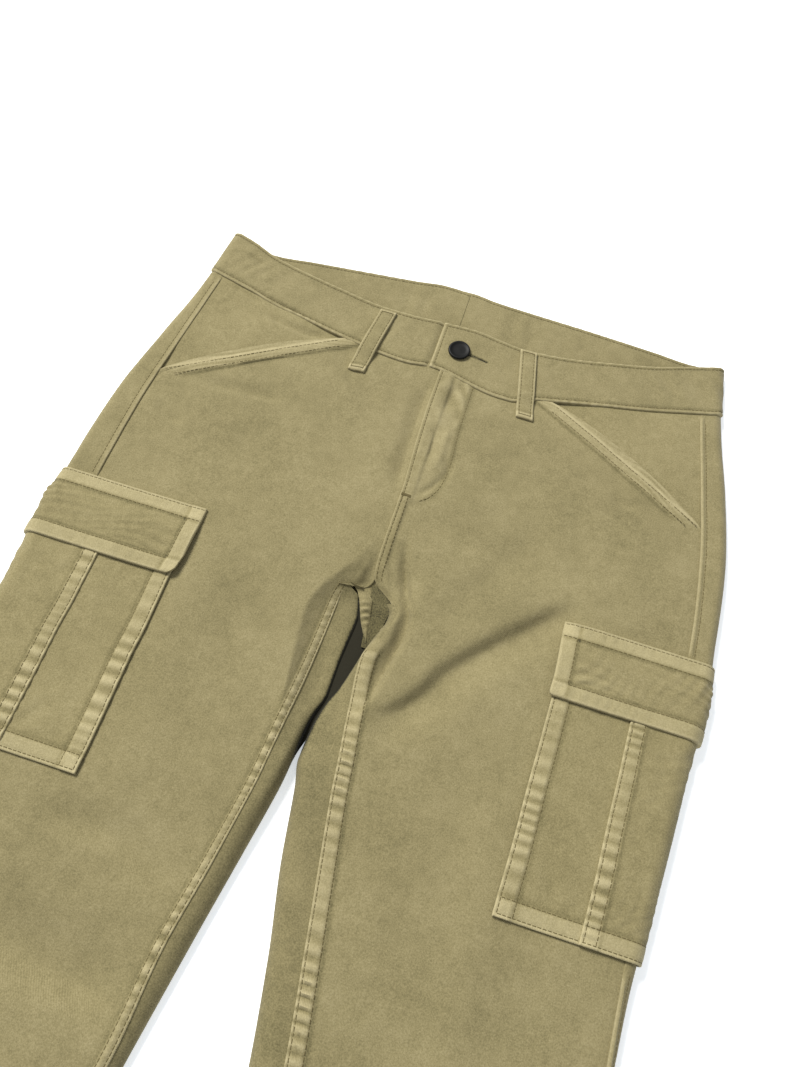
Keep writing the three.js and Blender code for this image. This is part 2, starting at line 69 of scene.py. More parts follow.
SECTIONS = {
    # down, outer, seam, loft
    1: [
        [0, 203, 187, 11], [60, 210, 192, 12], [120, 222, 201, 14], [180, 230, 209, 15],
        [250, 231, 212, 15], [275, 229, 212, 15], [290, 228, 212, 15], [307, 226, 211, 15],
        [340, 223, 210, 15], [365, 221, 209, 15], [400, 218, 208, 15], [450, 214, 206, 14],
        [500, 212, 206, 13], [570, 210, 204, 12], [700, 207, 201, 11], [850, 204, 198, 9],
        [1000, 201, 195, 8],
    ],
    -1: [
        [0, 200, 186, 11], [60, 206, 193, 12], [120, 217, 198, 14], [180, 227, 203, 15],
        [250, 231, 205, 15], [275, 231, 205, 15], [290, 230, 205, 15], [307, 230, 206, 15],
        [340, 229, 206, 15], [365, 229, 207, 15], [400, 229, 207, 15], [450, 230, 208, 14],
        [500, 232, 211, 13], [570, 235, 214, 12], [700, 238, 218, 11], [850, 242, 223, 9],
        [1000, 246, 228, 8],
    ],
}
# Where each leg's inner contour lies as it looks, and how far the underside reaches into the
# slit between the legs.
INNER = {
    1: [[0, -2.85], [250, -2.85], [262, -1.5], [270, 4], [275, 10], [280, 15], [284, 16.5],
        [292, 15.5], [301, 12], [312, 8.5], [328, 4.5], [342, 0.5], [350, -3], [365, -6.5],
        [390, -8], [405, -4.5], [450, 3], [500, 14], [570, 25], [700, 34], [850, 42], [1000, 46]],
    -1: [[0, 3.15], [262, 3.15], [270, 4], [277, 6], [284, 4], [293, 2], [308, 3], [327, 4],
         [345, 4], [363, 8.5], [390, 11], [410, 13], [450, 20], [500, 29], [570, 41], [700, 63],
         [850, 79], [1000, 91]],
}
SLIT = [[255, -3], [262, -1.5], [268, 0], [275, 2], [300, 3.5], [330, 0.5], [350, -3.5], [390, -9],
        [440, -9]]
# The inner edge of each front, by row: x, and how far the row bends up there.
FRONT_EDGE = {
    1: [[80, -5, 0], [124, -5, 0], [153, -4, 0], [194, -2, 1], [222, -2, 2], [243, -2, 3],
        [262, -1, 4], [270, 2, 5], [275, 9, 5], [280, 16, 4], [288, 17, 3], [297, 14.5, 2],
        [305, 12, 1], [312, 9.8, 0], [318, 8.7, 0], [330, 9.2, 0], [344, 11, 0], [361, 13, 0],
        [383, 16, 0], [407, 19, 0], [480, 31, 0], [544, 41, 0], [600, 46.5, 0], [700, 51, 0],
        [850, 55, 0], [1000, 58, 0]],
    -1: [[80, 1, 0], [155, 1, 0], [240, 1, 1], [262, 1, 2], [268, -1, 2], [272, -4, 3],
         [275, -8, 5], [278, -12, 8], [281, -15, 11], [286, -17, 10], [292, -18, 6], [300, -18.5, 3],
         [312, -19, 1],
         [333, -20, 0], [364, -22, 0], [391, -24, 0], [413, -26, 0], [464, -34, 0],
         [510, -42, 0], [567, -47, 0], [700, -69, 0], [850, -85, 0], [1000, -97, 0]],
}
LOOP_ROOM = [[-20, 2.4], [62, 2.4], [90, 0]]
POCKET_ROOM = [
    [238, 0], [253, 2.1], [262, 3], [271, 3.9], [307, 3.9], [318, 2], [441, 2], [456, 0],
]
POCKET_ROOM_WIDTH = 56.0
ROOM_SLOPE = 15.0
POCKET = {"top": 275, "foot": 440, "front": 79, "middle": 28, "rear": -55}
FLAP = {"top": 253, "foot": 306, "front": 82, "rear": -58}
BUTTON = {"x": 4.0, "down": 65.0, "radius": 8.5}
BUTTONHOLE = {"x": 14.0, "half": 12.5, "down": 66.2}

# ---- Sizes of the looks ----
PLY = 0.9  # one layer of cloth as it looks
LAP = 1.2  # a layer that laps over another stands this far above it

# How far in from an edge each line of stitching lies.
INSEAM_STITCH = 1.7
INSEAM_BAND = {1: 9.6, -1: 5.6}
SLANT_STITCHES = (1.7, 7.4)
FLY_STITCH = 2.3
SEAT_STITCHES = (2.0, 6.0)
SIDE_STITCH = 4.2
BARTACK_DOWN = 199.0
BAND_STITCH = 3.0
BAND_END_STITCH = 3.2
BACK_BAND_FOOT_STITCH = 4.0
INNER_STITCHES = (2.0, 11.6)
CENTRE_STITCHES = (2.0, 9.4)
FOOT_STITCHES = (2.0, 11.0)
FLAP_HEAD_STITCHES = (1.6, 10.6)
FLAP_STITCH = 9.8
HEM_STITCH_ROW = 976.0
STITCH = 2.3
PITCH = 3.0

button_low, button_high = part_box("button")
SHIFT = np.array([
    (button_low[0] + button_high[0]) * 500 - BUTTON["x"],
    (button_low[1] + button_high[1]) * 500 + BUTTON["down"],
    0.0,
])


# ---- Curves ----
def quarter(q):
    """A quarter circle rising from 0 to 1."""
    return np.sqrt(1 - (1 - np.clip(q, 0, 1)) ** 2)


def ease(value, start, end):
    """A smooth step from 0 at start to 1 at end."""
    q = np.clip((value - start) / (end - start), 0, 1)
    return q * q * (3 - 2 * q)


def hill(value, centre, half):
    """A smooth hump of height 1."""
    return np.exp(-(((value - centre) / half) ** 2))


def mix(a, b, share):
    return a + (b - a) * share


def table_line(table):
    """Straight lines between [place, value] pairs."""
    places, values = np.array(table, float).T
    return lambda place: np.interp(place, places, values)


def smooth_line(places, values):
    """A cubic through the rows: each slope is that of the two neighbouring rows, and level
    where the values turn or stand still."""
    rate = np.diff(values) / np.diff(places)
    slope = np.empty(len(values))
    slope[0], slope[-1] = rate[0], rate[-1]
    across = (values[2:] - values[:-2]) / (places[2:] - places[:-2])
    slope[1:-1] = np.where(rate[:-1] * rate[1:] > 0, across, 0)
    fine = np.arange(places[0], places[-1] + 0.25, 0.25)
    i = np.clip(np.searchsorted(places, fine, side="right") - 1, 0, len(places) - 2)
    span = places[i + 1] - places[i]
    q = (fine - places[i]) / span
    rest = 1 - q
    curve = rest * rest * (1 + 2 * q) * values[i] + q * rest * rest * span * slope[i]
    curve += q * q * (3 - 2 * q) * values[i + 1] - q * q * rest * span * slope[i + 1]
    return lambda place: np.interp(place, fine, curve)


def pucker(length, pitch, seed):
    """Uneven small waves along a seam, from -1 to 1: a sine whose pitch and strength drift."""
    phase = length / pitch + 0.55 * np.sin(length / 23 + seed)
    phase = phase + 0.3 * np.sin(length / 9.7 + 2 * seed)
    return np.sin(2 * np.pi * phase) * (0.62 + 0.38 * np.sin(length / 19 + 3 * seed))


# ---- Folds and rumples of the upper layer ----
# Height, width on the left and on the right of the line as it runs down, share of its length
# over which each end fades, and the line's points (x, down).
STROKES = [
    (-6.5, 6, 14, 0.2, [(140, 238), (104, 270), (67, 309), (57, 327), (42, 345), (20, 360)]),
    (-5.2, 9, 1.7, 0.25, [(11, 222), (18, 249), (24, 265), (30, 283), (30.5, 299), (28, 313),
                            (22, 341), (15, 362)]),
    (2.2, 5, 4, 0.25, [(5, 226), (13, 250), (19, 268), (23, 285), (22, 305), (17, 325)]),
    (-1.3, 3, 3, 0.3, [(-8, 371), (3, 371)]),
    (-1.3, 1.8, 2.2, 0.3, [(2, 252), (6, 267), (12, 272), (17, 279)]),
    (0.9, 2.2, 1.6, 0.3, [(4, 248), (9, 263), (15, 269)]),
    (-1.0, 1.6, 1.6, 0.3, [(-7, 256), (-6, 266), (-12, 270)]),
    (-2.6, 2.5, 7, 0.3, [(-176, 149), (-158, 155), (-130, 154), (-100, 151)]),
    (-1.4, 2.5, 4, 0.3, [(-194, 180), (-182, 191), (-166, 194)]),
    (1.4, 3, 3, 0.3, [(-168, 170), (-148, 179), (-128, 193), (-120, 205)]),
    (-1.5, 2, 3, 0.3, [(-184, 61), (-169, 67), (-152, 72)]),
    (-1.8, 2, 4, 0.3, [(-156, 80), (-129, 85), (-111, 87), (-89, 83)]),
    (-1.6, 4, 5, 0.3, [(-84, 88), (-72, 105), (-62, 120)]),
    (-1.3, 5, 7, 0.3, [(-74, 113), (-51, 124), (-36, 129)]),
    (-1.6, 1.8, 3, 0.3, [(-172, 57), (-148, 67), (-125, 71), (-101, 75)]),
    (-1.2, 1.8, 2, 0.3, [(-182, 28), (-165, 36)]),
    (-1.6, 2, 3, 0.3, [(139, 151), (152, 155), (163, 152)]),
    (-1.6, 9, 13, 0.25, [(4, 209), (39, 215), (70, 219), (98, 222), (130, 222)]),
    (-2.0, 4, 5, 0.3, [(13, 91), (9, 109), (7, 124)]),
    (-2.6, 7, 2.5, 0.2, [(-9, 96), (-9, 130), (-8, 160), (-6, 198)]),
    (-1.2, 3, 4, 0.3, [(5, 132), (8, 152), (10, 168)]),
    (-1.8, 2.5, 3, 0.3, [(19, 155), (24, 169), (18, 185), (7, 197)]),
    (1.4, 4, 3, 0.3, [(15, 128), (16, 150), (14, 180)]),
    (-7.0, 12, 24, 0.25, [(-200, 512), (-165, 524), (-129, 533), (-97, 537), (-45, 543)]),
    (-2.2, 9, 12, 0.3, [(-150, 470), (-110, 462), (-75, 470), (-50, 488)]),
    (1.8, 18, 18, 0.3, [(115, 330), (122, 420), (126, 540), (128, 640)]),
    (2.0, 20, 22, 0.3, [(-118, 250), (-112, 330), (-100, 420), (-98, 480)]),
    (-1.6, 10, 14, 0.3, [(100, 180), (86, 220), (60, 262), (48, 290)]),
]
# Shelves: depth, widths over which the cloth steps down to the right of the line, stays low
# and comes back up, share of its length over which each end fades, and the line's points.
SHELVES = [
    (9.0, 19, 32, 52, 0.3, [(-5, 226), (-13, 250), (-24, 267), (-33, 284), (-36, 299), (-34, 320),
                            (-31, 345), (-28, 367), (-27, 400)]),
]


def spline(points, pieces=7):
    """A smooth line through points, as a Catmull-Rom curve."""
    points = np.array(points, float)
    before = 2 * points[0] - points[1]
    after = 2 * points[-1] - points[-2]
    chain = np.vstack([before, points, after])
    share = np.linspace(0, 1, pieces, endpoint=False)[:, None]
    found = []
    for a, b, c, d in zip(chain, chain[1:], chain[2:], chain[3:]):
        found.append(0.5 * (2 * b + (c - a) * share + (2 * a - 5 * b + 4 * c - d) * share ** 2
                            + (3 * b - a - 3 * c + d) * share ** 3))
    return np.vstack([*found, points[-1:]])


LINES = [(height, (left, right), fade, spline(points))
         for height, left, right, fade, points in STROKES]
STEPS = [(-depth, (near, flat, back), fade, spline(points))
         for depth, near, flat, back, fade, points in SHELVES]


def stroke_heights(x, down, strokes):
    """The sum of bell-shaped ridges and troughs that follow lines."""
    x, down = np.broadcast_arrays(np.asarray(x, float), np.asarray(down, float))
    total = np.zeros(x.shape)
    for height, widths, fade, line in strokes:
        reach = 2.6 * max(widths) if len(widths) == 2 else max(widths)
        low, high = line.min(0) - reach, line.max(0) + reach
        near = (x > low[0]) & (x < high[0]) & (down > low[1]) & (down < high[1])
        if not near.any():
            continue
        px, py = x[near], down[near]
        best = np.full(px.shape, 1e9)
        turn = np.zeros(px.shape)
        along = np.zeros(px.shape)
        steps = np.hypot(*np.diff(line, axis=0).T)
        done = np.concatenate([[0], np.cumsum(steps)]) / steps.sum()
        for k, (a, b) in enumerate(zip(line, line[1:])):
            run = b - a
            q = ((px - a[0]) * run[0] + (py - a[1]) * run[1]) / (run @ run)
            q = np.clip(q, 0, 1)
            gap_x, gap_y = px - a[0] - q * run[0], py - a[1] - q * run[1]
            away = np.hypot(gap_x, gap_y)
            closer = away < best
            best = np.where(closer, away, best)
            turn = np.where(closer, gap_x * run[1] - gap_y * run[0], turn)
            along = np.where(closer, mix(done[k], done[k + 1], q), along)
        taper = ease(along, 0, fade) * (1 - ease(along, 1 - fade, 1))
        if len(widths) == 2:
            shape = np.exp(-((best / np.where(turn < 0, *widths)) ** 2))
        else:
            step, flat, back = widths
            shape = 1 - (1 - np.clip(best / step, 0, 1)) ** 1.5
            shape = shape * (1 - ease(best, flat, back)) * (turn > 0)
        total[near] += height * shape * taper
    return total


def waves(x, down):
    """Long gentle unevenness: a few crossed sines."""
    broad = 0.45 * np.sin(x / 27 + down / 61 + 1.1) * np.sin(down / 43 - x / 90 + 0.4)
    middle = 0.3 * np.sin(x / 13 - down / 29 + 2.0) * np.sin(down / 19 + x / 41)
    small = 0.12 * np.sin(x / 6.1 + down / 9.3 + 0.7) * np.sin(down / 7.3 - x / 15 + 1.9)
    return broad + middle + small


def relief(x, down):
    return stroke_heights(x, down, LINES + STEPS) + waves(x, down)


# ---- The waist's lines ----
def level_curve(points):
    table = np.array(points, float)
    return smooth_line(table[:, 0], table[:, 1])


# x from the wearer's right to the left, and the distance down.
front_top = level_curve([(-215, 2), (-197, 9), (-180, 15), (-161, 23), (-138, 29), (-113, 34),
                         (-90, 38), (-65, 42), (-40, 42.5), (-14, 41), (8, 40.5), (30, 43),
                         (50, 45), (75, 43), (103, 38), (145, 28), (176, 17), (205, 8)])
front_band_foot = level_curve([(-225, 46), (-201, 54), (-170, 62), (-140, 70), (-110, 77),
                               (-80, 83), (-55, 87), (-36, 88.5), (-14, 86), (4, 87.5),
                               (24, 92), (42, 95.5), (57, 96), (70, 90), (84, 86), (118, 78),
                               (155, 69), (191, 59), (225, 49)])
back_top = level_curve([(-215, 2), (-197, 9), (-182, 14), (-164, 15), (-130, 11), (-95, 7),
                        (-43, 1), (-18, -2.5), (-3, -2), (12, 0), (45, 1.5), (90, 3),
                        (150, 6), (176, 8), (205, 6)])


# ---- One side of the trousers ----
slit = table_line(SLIT)
loop_room = table_line(LOOP_ROOM)
pocket_room = table_line(POCKET_ROOM)


class Side:
    """The outer surface of one leg and half of the seat. sign is 1 on the wearer's left."""

    def __init__(self, sign):
        self.sign = sign
        self.name = "left" if sign > 0 else "right"
        table = np.array(SECTIONS[sign], float)
        self.outer, self.seam, self.loft = [smooth_line(table[:, 0], column) for column in table.T[1:]]
        inner = np.array(INNER[sign], float)
        self.inner = smooth_line(inner[:, 0], inner[:, 1])
        edge = np.array(FRONT_EDGE[sign], float)
        self.edge_x = smooth_line(edge[:, 0], edge[:, 1])
        self.rise = smooth_line(edge[:, 0], edge[:, 2])

    def inseam(self, row):
        """How far out the front's inner edge lies."""
        return self.sign * self.edge_x(row)

    def fold_round(self, down):
        return np.minimum(FOLD_ROUND, 0.8 * (self.outer(down) - self.seam(down)))

    def fold_length(self, down):
        return ARC_STRETCH * self.fold_round(down)

    def seam_place(self, down):
        return self.fold_length(down) + self.outer(down) - self.seam(down) - self.fold_round(down)

    def from_inner(self, out, down):
        return np.hypot(out - self.inner(down), 0.14 * np.maximum(0, CROTCH - down))

    def inner_low(self, down):
        """The underside's inner fold: where the legs lie together it closes the slit."""
        share = ease(down, 255, 262) * (1 - ease(down, 372, 392))
        return mix(self.inner(down), np.minimum(self.sign * slit(down), self.inner(down)), share)

    def from_low(self, out, down):
        return np.hypot(out - self.inner_low(down), 0.14 * np.maximum(0, CROTCH - down))

    def room(self, inset, down):
        fade = np.clip((POCKET_ROOM_WIDTH + ROOM_SLOPE - inset) / ROOM_SLOPE, 0, 1)
        return loop_room(down) + pocket_room(down) * fade

    def top(self, out, down):
        inset = self.outer(down) - out
        base = FLOOR_RADIUS + self.room(inset, down)
        inner_round = 5.5 + 8 * ease(down, 380, 470) + 6 * hill(down, CROTCH, 12)
        rise = quarter(inset / self.fold_round(down))
        rise = rise * quarter(self.from_inner(out, down) / inner_round)
        body = np.maximum(self.loft(down) + relief(self.sign * out, down), base + 1)
        return base + (body - base) * rise

    def under(self, out, down):
        inset = self.outer(down) - out
        rise = quarter(inset / FLOOR_RADIUS)
        rise = rise * quarter(self.from_low(out, down) / FLOOR_RADIUS)
        return self.room(inset, down) + FLOOR_RADIUS * (1 - rise)

    def inset_at(self, place, down):
        """How far in from the outer fold a place on the cloth lies, seen from above."""
        above = place >= 0
        arc = np.where(above, self.fold_length(down), UNDER_ARC)
        reach = np.where(above, self.fold_round(down), FLOOR_RADIUS)
        along = np.abs(place)
        turned = reach * (1 - np.cos(np.minimum(along / arc, 1) * np.pi / 2))
        return np.where(along < arc, turned, reach + along - arc)

    def point(self, out, down, z):
        return np.stack(np.broadcast_arrays(self.sign * out, -down, z), -1)

    def on_top(self, out, down):
        return self.point(out, down, self.top(out, down))

    def ring(self, place, down):
        """The cloth round the outer fold: place 0 is the fold's line, above it counts up."""
        out = self.outer(down) - self.inset_at(place, down)
        z = np.where(place >= 0, self.top(out, down), self.under(out, down))
        return self.point(out, down, z)


LEFT, RIGHT = Side(1), Side(-1)
SIDES = (LEFT, RIGHT)


def band_down(side, place, inset, share):
    """The waistband's upper edge (share 0) or foot (share 1) round the outer fold."""
    front = ease(place, -12, 16)
    down = np.full(np.shape(place), 60.0)
    for _ in range(4):
        out = side.outer(down) - inset
        x = side.sign * out
        upper = mix(back_top(x), front_top(x), front)
        foot = mix(back_top(x) + BAND_DEPTH, front_band_foot(x), front)
        down = mix(upper, foot, share)
    return down


# ---- Meshes ----
FINE_STEP = 0.0008  # for surfaces whose numbers run from 0 to 1


def skin(surface, outward, lift=None, step=0.05):
    """The outer face of a piece: a surface of two numbers, raised by lift along its normal,
    which is the cross product of the surface's two directions."""
    def at(u, v):
        u, v = np.broadcast_arrays(np.asarray(u, float), np.asarray(v, float))
        point = surface(u, v)
        along_u = surface(u + step, v) - surface(u - step, v)
        along_v = surface(u, v + step) - surface(u, v - step)
        normal = np.cross(along_u, along_v)
        normal *= outward / np.maximum(np.linalg.norm(normal, axis=-1, keepdims=True), 1e-9)
        raised = point if lift is None else point + normal * lift(u, v)[..., None]
        return raised, normal
    return at


def make_mesh(name, points, faces, material, wear=None, sharp=40):
    """points are in millimetres in the garment's frame, faces a list of index arrays."""
    faces = [np.asarray(block) for block in faces if len(block)]
    mesh = bpy.data.meshes.new(name)
    co = (np.asarray(points) + SHIFT) / 1000
    mesh.vertices.add(len(co))
    mesh.vertices.foreach_set("co", co.astype(np.float32).ravel())
    corners = np.concatenate([block.ravel() for block in faces])
    sizes = np.concatenate([np.full(len(block), block.shape[1]) for block in faces])
    mesh.loops.add(len(corners))
    mesh.loops.foreach_set("vertex_index", corners.astype(np.int32))
    mesh.polygons.add(len(sizes))
    starts = np.concatenate([[0], np.cumsum(sizes)[:-1]])
    mesh.polygons.foreach_set("loop_start", starts.astype(np.int32))
    mesh.polygons.foreach_set("use_smooth", np.ones(len(sizes), bool))
    # Per point: wear and painted shade for the cloth's finish.
    if wear is not None:
        mesh.attributes.new("wear", "FLOAT", "POINT")
        mesh.attributes["wear"].data.foreach_set("value", np.asarray(wear, np.float32).ravel())
    mesh.update(calc_edges=True)
    mesh.validate()
    mesh.set_sharp_from_angle(angle=np.radians(sharp))
    mesh.materials.append(material)
    obj = bpy.data.objects.new(name, mesh)
    bpy.context.scene.collection.objects.link(obj)
    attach(obj, "root")
    return obj


def wall(name, blocks, material, node):
    """Closes blocks of (outer points, inner points, wear and painted shade) into one wall of cloth:
    blocks join where their outer points meet, and a rim closes every open edge."""
    outer, inner, wear, quads, start = [], [], [], [], 0
    for top, under, mark in blocks:
        rows, columns = top.shape[:2]
        index = start + np.arange(rows * columns).reshape(rows, columns)
        quads.append(np.stack([index[:-1, :-1], index[:-1, 1:], index[1:, 1:], index[1:, :-1]],
                              -1).reshape(-1, 4))
        outer.append(top.reshape(-1, 3))
        inner.append(under.reshape(-1, 3))
        wear.append(np.broadcast_to(mark, (rows, columns)).ravel())
        start += rows * columns
    outer, inner, wear, quads = [np.concatenate(part) for part in (outer, inner, wear, quads)]
    _, first, merged = np.unique(np.round(outer, 3), axis=0, return_index=True,
                                 return_inverse=True)
    outer, inner, wear = outer[first], inner[first], wear[first]
    quads = merged.ravel()[quads]
    same = [quads[:, k] == quads[:, (k + 1) % 4] for k in range(4)]
    count = np.sum(same, axis=0)
    whole = quads[count == 0]
    partly = quads[count == 1]
    drop = np.argmax(np.array(same)[:, count == 1], axis=0) if len(partly) else []
    keep = np.ones((len(partly), 4), bool)
    keep[np.arange(len(partly)), drop] = False
    triples = partly[keep].reshape(-1, 3)
    a, b, c = outer[whole[:, 0]], outer[whole[:, 1]], outer[whole[:, 2]]
    out_way = (outer - inner)[whole[:, 0]]
    if np.sum(np.cross(b - a, c - a) * out_way) < 0:
        whole, triples = whole[:, ::-1], triples[:, ::-1]
    edges = np.concatenate([
        *[np.stack([whole[:, k], whole[:, (k + 1) % 4]], -1) for k in range(4)],
        *[np.stack([triples[:, k], triples[:, (k + 1) % 3]], -1) for k in range(3)],
    ])
    total = len(outer)
    ahead = edges[:, 0] * total + edges[:, 1]
    back = edges[:, 1] * total + edges[:, 0]
    rim = edges[~np.isin(ahead, back)]
    rim_quads = np.stack([rim[:, 1], rim[:, 0], rim[:, 0] + total, rim[:, 1] + total], -1)
    faces = [whole, whole[:, ::-1] + total, rim_quads, triples, triples[:, ::-1] + total]
    obj = make_mesh(name, np.concatenate([outer, inner]), faces, material,
                    np.concatenate([wear, wear * 0.5]))
    if node:
        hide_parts(node)
    return obj


def cloth_block(face, u, v, ply=PLY, wear=None):
    """One block of a wall: the outer face at u and v, and the inner face a ply below it."""
    point, normal = face(u, v)
    thick = ply(u, v)[..., None] if callable(ply) else ply
    mark = wear(u, v) if wear else np.zeros(u.shape)
    return point, point - normal * thick, mark


def roll(inset, radius=1.1, drop=0.6):
    """A folded edge rounds off: how far the cloth drops within radius of its edge."""
    return -drop * (1 - quarter(inset / radius))


# ---- Finishes ----
def material_of(name, build):
    material = bpy.data.materials.new(name)
    material.use_nodes = True
    build(material.node_tree, material.node_tree.nodes["Principled BSDF"])
    return material


def node(tree, kind, **values):
    made = tree.nodes.new(kind)
    for key, value in values.items():
        if key in made.inputs:
            made.inputs[key].default_value = value
        else:
            setattr(made, key, value)
    return made


def maths(tree, operation, a, b):
    made = tree.nodes.new("ShaderNodeMath")
    made.operation = operation
    for socket, value in zip(made.inputs, (a, b)):
        if isinstance(value, (int, float)):
            socket.default_value = value
        else:
            tree.links.new(value, socket)
    return made.outputs[0]


def cloth_finish(dark, middle, light, seed):
    """Washed cotton twill: soft mottling at three sizes, a fine diagonal weave, and an attribute of
    wear and painted shade, which pales worn edges and seam ridges, paints light on small ribs, and
    paints shade into grooves, hollows and the slit between the legs."""
    def build(tree, shader):
        link = tree.links.new
        place = node(tree, "ShaderNodeTexCoord").outputs["Object"]
        shift = node(tree, "ShaderNodeMapping")
        shift.inputs["Location"].default_value = (seed * 0.37, seed * 0.11, seed * 0.05)
        link(place, shift.inputs["Vector"])
        place = shift.outputs["Vector"]
        noises = []
        for scale, detail in ((24, 5), (150, 4), (1100, 3)):
            made = node(tree, "ShaderNodeTexNoise", Scale=float(scale), Detail=float(detail),
                        Roughness=0.6)
            link(place, made.inputs["Vector"])
            noises.append(made.outputs["Fac"])
        # Wear and painted shade come in through one attribute.
        wear = node(tree, "ShaderNodeAttribute", attribute_name="wear").outputs["Fac"]
        amount = maths(tree, "MULTIPLY", maths(tree, "SUBTRACT", noises[0], 0.5), 0.34)
        fine = maths(tree, "MULTIPLY", maths(tree, "SUBTRACT", noises[1], 0.5), 0.24)
        grain = maths(tree, "MULTIPLY", maths(tree, "SUBTRACT", noises[2], 0.5), 0.7)
        amount = maths(tree, "ADD", amount, fine)
        amount = maths(tree, "ADD", amount, grain)
        amount = maths(tree, "ADD", amount, maths(tree, "MULTIPLY", wear, 0.5))
        amount = maths(tree, "ADD", amount, 0.5)
        ramp = node(tree, "ShaderNodeValToRGB")
        # The darkest stop is painted shade: hollows and the slit between the legs go nearly black.
        ramp.color_ramp.elements[0].position = 0.0
        ramp.color_ramp.elements[0].color = (0.02, 0.018, 0.01, 1)
        ramp.color_ramp.elements[1].position = 1.0
        ramp.color_ramp.elements[1].color = (*light, 1)
        ramp.color_ramp.elements.new(0.2).color = (*dark, 1)
        ramp.color_ramp.elements.new(0.5).color = (*middle, 1)
        link(amount, ramp.inputs["Fac"])
        link(ramp.outputs["Color"], shader.inputs["Base Color"])
        weave = node(tree, "ShaderNodeTexWave", Scale=420.0, Distortion=1.5, Detail=1.0)
        weave.inputs["Detail Scale"].default_value = 2.0
        weave.bands_direction = "DIAGONAL"
        link(place, weave.inputs["Vector"])
        height = maths(tree, "MULTIPLY", weave.outputs["Fac"], 0.00012)
        height = maths(tree, "ADD", height, maths(tree, "MULTIPLY", noises[2], 0.0002))
        height = maths(tree, "ADD", height, maths(tree, "MULTIPLY", noises[1], 0.0006))
        bump = node(tree, "ShaderNodeBump", Strength=0.8, Distance=1.0)
        link(height, bump.inputs["Height"])
        link(bump.outputs["Normal"], shader.inputs["Normal"])
        shader.inputs["Roughness"].default_value = 0.92
        shader.inputs["Specular IOR Level"].default_value = 0.2
        shader.inputs["Sheen Weight"].default_value = 0.08
        shader.inputs["Sheen Roughness"].default_value = 0.5
    return build


def plain_finish(colour, roughness, metallic=0.0, specular=0.5):
    def build(tree, shader):
        shader.inputs["Base Color"].default_value = (*colour, 1)
        shader.inputs["Roughness"].default_value = roughness
        shader.inputs["Metallic"].default_value = metallic
        shader.inputs["Specular IOR Level"].default_value = specular
    return build


TWILL = material_of("twill", cloth_finish(
    (0.113, 0.098, 0.044), (0.228, 0.193, 0.094), (0.40, 0.345, 0.195), 1))
POCKET_TWILL = material_of("pocket_twill", cloth_finish(
    (0.117, 0.1, 0.044), (0.233, 0.197, 0.095), (0.41, 0.355, 0.2), 2))
THREAD = material_of("thread", plain_finish((0.125, 0.1, 0.042), 0.8, 0.0, 0.2))
BLACK_METAL = material_of("black_metal", plain_finish((0.005, 0.005, 0.0045), 0.5, 0.0, 0.16))


# ---- Fronts ----
def slant_edge(side):
    """The head of the slant pocket's edge, and the way from there to its foot."""
    head = np.array([SLANT_HEAD, float(front_band_foot(side.sign * SLANT_HEAD))])
    return head, np.array([float(side.seam(SLANT_FOOT)), SLANT_FOOT]) - head


def slant_place(side, out, down):
    """How far inside the front a point lies from the slant pocket's edge, and how far along."""
    head, slant = slant_edge(side)
    run = slant / np.hypot(*slant)
    past, below = out - head[0], down - head[1]
    return below * run[0] - past * run[1], past * run[0] + below * run[1]


def front_place(side, inset, row):
    """Where a point of a front lies: inset from its inner edge, on a row. Rows 100 to 155
    fan out from the waistband's foot to the foot of the slant."""
    hip = row < SLANT_FOOT
    q = (row - 100) / 55
    start = side.inseam(row)
    end = np.where(hip, mix(SLANT_HEAD, side.seam(SLANT_FOOT), q), side.seam(row) + 4)
    end = np.where(hip, end, np.minimum(end, side.seam(row) + ease(row, 155, 165) * 4))
    width = end - start
    out = start + inset * width
    centre = front_band_foot(side.sign * start)
    head = front_band_foot(side.sign * SLANT_HEAD)
    end_down = mix(head, SLANT_FOOT, q)
    bow = front_band_foot(side.sign * out) - mix(centre, head, inset)
    hip_down = mix(mix(centre, SLANT_FOOT, q), end_down, inset) + bow * (1 - q)
    leg_down = row - side.rise(row) * np.exp(-inset * width / 16)
    return out, np.where(hip, hip_down, leg_down), width


def j_line(down):
    """The fly's curved stitch line: x of the line at each height."""
    foot = np.sqrt(np.clip(1 - ((down - 176) / 28) ** 2, 0, 1))
    return np.where(down < 176, 23 + 2 * hill(down, 165, 20), 25 * foot - 1)


def fly_rumple(x, down):
    """Crossed small folds inside the fly's stitch line."""
    return pucker(down + 0.9 * x, 23, 61) * pucker(down - 1.4 * x, 17, 62)


def seam_starts(side, row):
    """The left inseam comes out from under the leg's own fold a little below the crotch."""
    return ease(row, 304, 314) if side.sign > 0 else ease(row, 281, 296)


